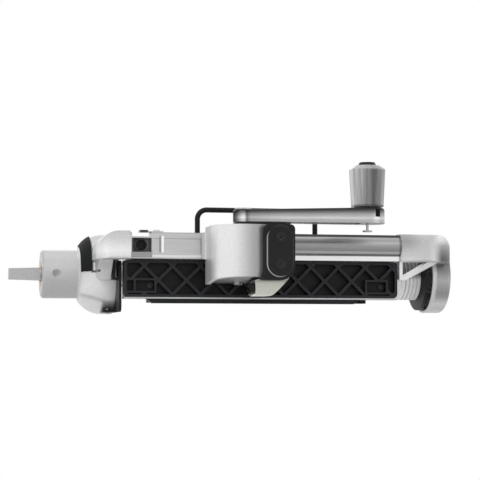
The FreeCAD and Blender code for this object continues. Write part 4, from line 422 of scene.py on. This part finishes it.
def rail_metal():
    """Satin rail whose rounded part shows painted reflections as lighter and darker bands along its
    length, with painted highlights and shade on its flat part and in its seam.
    """
    g = Graph("rail_metal")
    ledge_highlight = g.inside("Z", *RAIL_LEDGE_HIGHLIGHT, 0.4)
    body = g.mix(g.math("MULTIPLY", ledge_highlight, 0.8), RAIL_METAL, shade(RAIL_METAL, 1.5))
    for x, z, tone in RAIL_SHADE_AND_HIGHLIGHTS:
        body = g.mix(g.patch(x, z), body, (tone, tone, tone))
    rounded = g.past("X", (RAIL_ROUND_FROM - 0.3, RAIL_ROUND_FROM))
    rounded = g.math("MULTIPLY", rounded, g.facing((0, -1, 0), -0.3, 0.1))
    body = g.mix(rounded, body, g.bands(g.millimetres("Z"), RAIL_PAINTED_BANDS))
    body = g.mix(g.math("MULTIPLY", g.inside("X", *RAIL_SEAM, 0.8), 0.6), body, SHADOW)
    body = g.mix(g.facing((0, 0, 1), 0.90, 0.98), body, RAIL_METAL)
    return worked(g, body, shade(RAIL_METAL, 1.4), 0.34, grain=ALONG_RAIL, grain_scale=BRUSHED_GRAIN,
                  wear=0.15)


def crank_metal():
    """Bright plated arm with a painted dark reflection on its upper rim that widens towards the knob,
    painted shade and highlight on its boss, and painted shade in a slot near its end.
    """
    g = Graph("crank_metal")
    low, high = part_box("crank_arm")
    along = g.span(g.axes["X"], 0.0, 1.0, low.x, high.x)
    under = g.math("SUBTRACT", g.span(along, *CRANK_TOP, 0.0, 1.0), g.millimetres("Z"))
    under = g.math("DIVIDE", under, g.span(along, 0.85, 1.15, 0.0, 1.0))
    from_end = g.math("SUBTRACT", g.millimetres("X"), low.x / MM)
    face = g.mix(1.0, g.bands(under, CRANK_PAINTED_BANDS), g.bands(from_end, BOSS_PAINTED_BANDS), "MULTIPLY")
    upright = g.math("SUBTRACT", 1.0, g.facing((0, 0, 1), 0.93, 0.99))
    body = g.mix(upright, CRANK_METAL, face)
    # Painted shade in the slot near the arm's end.
    slot = g.math("MULTIPLY", g.patch(*CRANK_SLOT_SHADE), g.inside("Y", *CRANK_SLOT_SHADE_DEPTH, 0.5))
    body = g.mix(slot, body, (0.008, 0.008, 0.008))
    return worked(g, body, shade(CRANK_METAL, 1.35), 0.30, grain=ALONG_CRANK, grain_scale=CUT_GRAIN,
                  wear=0.1)


def lip_metal():
    """Bright lip with painted shade where it curls in under the cover."""
    g = Graph("lip_metal")
    body = g.mix(1.0, g.bands(g.millimetres("Z"), LIP_PAINTED_BANDS), TRIM, "MULTIPLY")
    return worked(g, body, (0.90, 0.90, 0.88), 0.22, wear=0.12)


def screw_gloss():
    """Black screws with painted glints on their rims and sockets."""
    return moulded(Graph("screw_gloss"), BLACK_GLOSS, GLINT_BLACK, 0.3, coat=0.05, wear=0.8)


def bright_trim():
    return metal("bright_trim", shade(TRIM, 0.75), 0.14, smudge=0.05)


def knob_metal():
    """Brushed knob with painted reflections as light and dark bands round it, that run down its height,
    and painted shade at its foot.
    """
    g = Graph("knob_metal")
    low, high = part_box("knob_barrel")
    middle = (low + high) / 2
    x = g.math("SUBTRACT", g.axes["X"], middle.x)
    y = g.math("SUBTRACT", g.axes["Y"], middle.y)
    around = g.math("MULTIPLY", g.math("ARCTAN2", y, x), 180.0 / math.pi)
    body = g.bands(around, KNOB_PAINTED_BANDS)
    streak = g.noise(POLISHED_GRAIN, UP_KNOB)
    body = g.mix(g.span(streak, 0.0, 0.35), body, (0.02, 0.02, 0.02))
    shoulder = g.span(g.axes["Z"], 0.0, 1.0, high.z - 3.6 * MM, high.z - 2.4 * MM)
    body = g.mix(g.math("MULTIPLY", shoulder, 0.5), body, (0.45, 0.45, 0.45))
    foot = g.span(g.axes["Z"], 1.0, 0.0, low.z + 0.8 * MM, low.z + 1.6 * MM)
    body = g.mix(g.math("MULTIPLY", foot, 0.7), body, SHADOW)
    return worked(g, body, (0.62, 0.62, 0.62), 0.32, grain=UP_KNOB, grain_scale=BRUSHED_GRAIN)


def steel():
    return metal("steel", STEEL, 0.34, grain_scale=PLAIN_GRAIN, depth=0.0000015)


def blade_steel():
    """Ground steel: fine lines square to the edge."""
    return metal("blade_steel", BLADE_STEEL, 0.18, grain=ACROSS_BLADE, grain_scale=GROUND_GRAIN,
                 smudge=0.06)


def spring_steel():
    return metal("spring_steel", SPRING_STEEL, 0.30, grain_scale=PLAIN_GRAIN)


def clip_steel():
    """Spring clip: dark at its free end, pale where it lies on the rail."""
    g = Graph("clip_steel")
    body = g.mix(g.past("X", CLIP_DARK_END), (0.06, 0.06, 0.06), RAIL_METAL)
    return worked(g, body, RAIL_METAL, 0.35, grain_scale=PLAIN_GRAIN, wear=0.1)


def pale_steel():
    return metal("pale_steel", shade(RAIL_METAL, 1.2), 0.35, grain_scale=PLAIN_GRAIN)


def dull_steel():
    return metal("dull_steel", DULL_STEEL, 0.45, grain_scale=PLAIN_GRAIN, wear=0.2)


def collar_metal():
    """Pale grooved collar with a painted shadow at the front where it lies under the bracket, whatever its
    turn.
    """
    g = Graph("collar_metal")
    surface = g.add("ShaderNodeNewGeometry").outputs
    height = g.add("ShaderNodeSeparateXYZ", {"Vector": surface["Position"]}).outputs["Z"]
    backward = g.add("ShaderNodeSeparateXYZ", {"Vector": surface["Normal"]}).outputs["Y"]
    raised = g.span(height, 0.0, 0.9, COLLAR_SHADE[0] * MM, COLLAR_SHADE[1] * MM)
    under = g.math("MULTIPLY", raised, g.span(backward, 1.0, 0.0, -0.5, -0.2))
    body = g.mix(under, COLLAR_METAL, (0.03, 0.03, 0.03))
    return worked(g, body, (0.95, 0.95, 0.95), 0.5, grain_scale=PLAIN_GRAIN, metallic=0.1, wear=0.1)


def bronze():
    return metal("bronze", BRONZE, 0.42, grain_scale=BRONZE_GRAIN, depth=0.00002)


def gear_steel():
    return metal("gear_steel", shade(STEEL, 0.8), 0.30, grain_scale=CUT_GRAIN)


def black_plastic():
    return plastic("black_plastic", BLACK, 0.46)


def lattice_plastic():
    """Black moulding whose rib faces are a little paler than the floors between them, which are painted
    darker as shade in the recesses.
    """
    g = Graph("lattice_plastic")
    low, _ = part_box("cassette")
    face = g.span(g.axes["Y"], 1.0, 0.0, low.y + 0.2 * MM, low.y + 1.2 * MM)
    body = g.mix(face, shade(BLACK, 0.5), shade(BLACK, 2.1))
    return moulded(g, body, shade(BLACK, 4.0), 0.46)


def pocket_plastic():
    """Black pocket lining with painted light on its left side and round the right of the rod's hole, and
    painted shade in the hole.
    """
    g = Graph("pocket_plastic")
    low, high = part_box("guide_rods")
    x = g.math("SUBTRACT", g.millimetres("X"), low.x / MM + ROD_R)
    z = g.math("SUBTRACT", g.millimetres("Z"), (low.z + high.z) / 2 / MM)
    out = g.math("SQRT", g.math("ADD", g.math("MULTIPLY", x, x), g.math("MULTIPLY", z, z)))
    lining = g.bands(g.millimetres("X"), POCKET_PAINTED_BANDS)
    body = g.mix(g.span(out, 0.0, 1.0, *POCKET_HOLE_SHADE), shade(BLACK, 0.5), lining)
    return moulded(g, body, shade(BLACK, 8.0), 0.5)


def black_gloss():
    return plastic("black_gloss", BLACK_GLOSS, 0.30, depth=0.000005, coat=0.05)


def plate_gloss():
    """Black plate with a painted highlight on its bevel, on its left and lower side."""
    g = Graph("plate_gloss")
    bevel = g.math("SUBTRACT", 1.0, g.facing((0, -1, 0), 0.86, 0.95))
    side = g.facing((-1.0, -0.4, -0.9), 0.35, 0.65)
    body = g.mix(g.math("MULTIPLY", bevel, side), shade(BLACK_GLOSS, 1.2), BEVEL_HIGHLIGHT)
    return moulded(g, body, shade(BLACK_GLOSS, 4.0), 0.32, depth=0.000005, coat=0.05)


def black_rubber():
    return plastic("black_rubber", RUBBER, 0.62, grain_scale=RUBBER_GRAIN, depth=0.00003, specular=0.15)


def black_wire():
    return plastic("black_wire", WIRE_BLACK, 0.36, depth=0.000005)


# One finish for each material slot of the record, and the nodes that have a finish of their own.
FINISHES = {finish.__name__: finish for finish in (
    cast_aluminium, satin_aluminium, crank_metal, knob_metal, bright_trim, black_plastic, black_gloss,
    black_rubber, black_wire, steel, blade_steel, spring_steel, bronze, gear_steel)}
OWN_FINISH = {"gear_housing": housing_metal, "drum_housing": drum_metal, "end_bracket": bracket_metal,
              "end_cap": ring_metal, "rail": rail_metal, "tail_collar": collar_metal,
              "cover_lip": lip_metal, "rod_clip": clip_steel, "clip_screw": pale_steel,
              "cassette": lattice_plastic, "cassette_screws": dull_steel,
              "pocket_insert": pocket_plastic, "rack_cover_plate": plate_gloss,
              "rack_cover_screws": screw_gloss}


def smooth(mesh):
    mesh.polygons.foreach_set("use_smooth", [True] * len(mesh.polygons))


def dress_nodes():
    """Gives each CAD node the finish of its slot in the record, or its own. Returns those of the slots."""
    made = {}
    for part in frame["record"]["subparts"]:
        slot = part["material_slot"]
        if slot not in made:
            made[slot] = FINISHES[slot]()
        name = part["node"]
        node = frame["nodes"][name]
        material = OWN_FINISH[name]() if name in OWN_FINISH else made[slot]
        node.data.materials.clear()
        node.data.materials.append(material)
        smooth(node.data)
        node.data.set_sharp_from_angle(angle=SMOOTH_ANGLE)
    return made


# ------------------------------------------------------------------ pieces of the scene
SPRING_TURNS = 5.0
SPRING_STEPS = 24            # of each turn
SPRING_WIRE = 0.6 * MM       # radius of the wire
SPRING_DRAWN = 0.96          # share of that radius that is drawn, to stay clear of its neighbours


def tail_coil(made):
    """Coil spring that stands in for the tail spring, on the frame."""
    low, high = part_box("tail_spring")
    radius = (high.z - low.z) / 2 - SPRING_WIRE
    start, end = low.x + SPRING_WIRE, high.x - SPRING_WIRE
    curve = bpy.data.curves.new("tail_coil", "CURVE")
    curve.dimensions = "3D"
    curve.bevel_depth = SPRING_WIRE * SPRING_DRAWN
    curve.bevel_resolution = 3
    curve.use_fill_caps = True
    line = curve.splines.new("POLY")
    count = int(SPRING_TURNS * SPRING_STEPS)
    line.points.add(count)
    for i, point in enumerate(line.points):
        angle = 2 * math.pi * i / SPRING_STEPS
        x = start + (end - start) * i / count
        point.co = (x, radius * math.cos(angle), radius * math.sin(angle), 1.0)
    drawn = bpy.data.objects.new("tail_coil_line", curve)
    mesh = bpy.data.meshes.new_from_object(drawn)
    bpy.data.objects.remove(drawn)
    smooth(mesh)
    mesh.materials.clear()
    mesh.materials.append(made["spring_steel"])
    piece = bpy.data.objects.new("tail_coil", mesh)
    bpy.context.scene.collection.objects.link(piece)
    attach(piece, "frame")
    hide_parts("tail_spring")
    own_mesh(piece)


RIM_LENGTH = 2.4 * MM        # how far it stands out of the ring, towards the cassette
RIM_LAP = 0.5 * MM           # how far it reaches into the ring
RIM_WALL = 1.3 * MM
RIM_SEGMENTS = 128


def ring_rim(made):
    """Thin turned edge on the open side of the end ring."""
    low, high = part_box("end_cap")
    start, end = low.x - RIM_LENGTH, low.x + RIM_LAP
    outer, inner = high.y, high.y - RIM_WALL
    soft = RIM_WALL / 4
    profile = ((start + soft, outer), (end, outer), (end, inner), (start + soft, inner),
               (start, inner + soft), (start, outer - soft))
    form = bmesh.new()
    loops = []
    for i in range(RIM_SEGMENTS):
        angle = 2 * math.pi * i / RIM_SEGMENTS
        loops.append([form.verts.new((x, r * math.cos(angle), r * math.sin(angle))) for x, r in profile])
    for first, second in zip(loops, loops[1:] + loops[:1]):
        for j, vertex in enumerate(first):
            k = (j + 1) % len(profile)
            form.faces.new((vertex, second[j], second[k], first[k]))
    bmesh.ops.recalc_face_normals(form, faces=form.faces)
    mesh = bpy.data.meshes.new("ring_rim")
    form.to_mesh(mesh)
    form.free()
    smooth(mesh)
    mesh.set_sharp_from_angle(angle=SMOOTH_ANGLE)
    mesh.materials.append(made["cast_aluminium"])
    piece = bpy.data.objects.new("ring_rim", mesh)
    bpy.context.scene.collection.objects.link(piece)
    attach(piece, "frame")


# ------------------------------------------------------------------ studio
def seen_directly(tree):
    """1 for camera, glossy and transmission rays."""
    path = tree.nodes.new("ShaderNodeLightPath")
    total = path.outputs["Is Camera Ray"]
    for name in ("Is Glossy Ray", "Is Transmission Ray"):
        add = tree.nodes.new("ShaderNodeMath")
        add.operation = "MAXIMUM"
        tree.links.new(total, add.inputs[0])
        tree.links.new(path.outputs[name], add.inputs[1])
        total = add.outputs["Value"]
    return total


def world():
    """White world that lights the part less than it shows."""
    sky = bpy.data.worlds.new("studio")
    sky.use_nodes = True
    tree = sky.node_tree
    background = tree.nodes["Background"]
    background.inputs["Color"].default_value = (1.0, 1.0, 1.0, 1.0)
    strength = tree.nodes.new("ShaderNodeMapRange")
    strength.inputs["To Min"].default_value = AMBIENT
    strength.inputs["To Max"].default_value = 1.0
    tree.links.new(seen_directly(tree), strength.inputs["Value"])
    tree.links.new(strength.outputs["Result"], background.inputs["Strength"])
    bpy.context.scene.world = sky


def floor():
    """Pale floor that fades to white away from the part."""
    middle = (cad_low + cad_high) / 2
    mesh = bpy.data.meshes.new("floor")
    form = bmesh.new()
    bmesh.ops.create_circle(form, cap_ends=True, segments=96, radius=FLOOR_R)
    form.to_mesh(mesh)
    form.free()
    disc = bpy.data.objects.new("floor", mesh)
    disc.location = (middle.x, middle.y, cad_low.z - FLOOR_DROP)
    bpy.context.scene.collection.objects.link(disc)
    g = Graph("floor")
    distance = g.add("ShaderNodeVectorMath", {0: g.place}, operation="LENGTH").outputs["Value"]
    far = g.add("ShaderNodeMapRange", {"Value": distance, "From Min": FLOOR_NEAR, "From Max": FLOOR_FAR},
                interpolation_type="SMOOTHSTEP").outputs["Result"]
    g.finish(Base_Color=FLOOR_COLOUR, Roughness=0.85)
    white = g.add("ShaderNodeEmission", {"Color": (1.0, 1.0, 1.0, 1.0)})
    share = g.math("MULTIPLY", far, seen_directly(g.tree))
    blend = g.add("ShaderNodeMixShader", {0: share, 1: g.shader.outputs["BSDF"],
                                          2: white.outputs["Emission"]})
    output = g.tree.nodes["Material Output"]
    g.tree.links.new(blend.outputs["Shader"], output.inputs["Surface"])
    mesh.materials.append(g.material)


def lamps():
    """Square area lamps that face the part's middle."""
    aim = (cad_low + cad_high) / 2
    for name, place, size, radiance in LAMPS:
        data = bpy.data.lights.new(name, "AREA")
        data.shape = "SQUARE"
        data.size = size
        data.energy = radiance * math.pi * size * size
        lamp = bpy.data.objects.new(name, data)
        lamp.location = place
        lamp.rotation_euler = (aim - Vector(place)).to_track_quat("-Z", "Y").to_euler()
        bpy.context.scene.collection.objects.link(lamp)


def camera():
    """Long lens a little below the part's level, aimed at its middle."""
    data = bpy.data.cameras.new("camera")
    data.lens = LENS
    data.sensor_width = SENSOR
    data.clip_start = VIEW_NEAR
    data.clip_end = VIEW_FAR
    eye = bpy.data.objects.new("camera", data)
    azimuth, elevation = math.radians(VIEW_AZIMUTH), math.radians(VIEW_ELEVATION)
    back = Vector((math.sin(azimuth) * math.cos(elevation), -math.cos(azimuth) * math.cos(elevation),
                   math.sin(elevation)))
    eye.location = Vector(VIEW_CENTRE) + back * VIEW_DISTANCE
    aim = (cad_low + cad_high) / 2
    eye.rotation_euler = (aim - eye.location).to_track_quat("-Z", "Y").to_euler()
    bpy.context.scene.collection.objects.link(eye)
    bpy.context.scene.camera = eye
    bpy.context.scene.view_settings.view_transform = "Standard"


world()
floor()
lamps()
camera()
materials = dress_nodes()
tail_coil(materials)
ring_rim(materials)
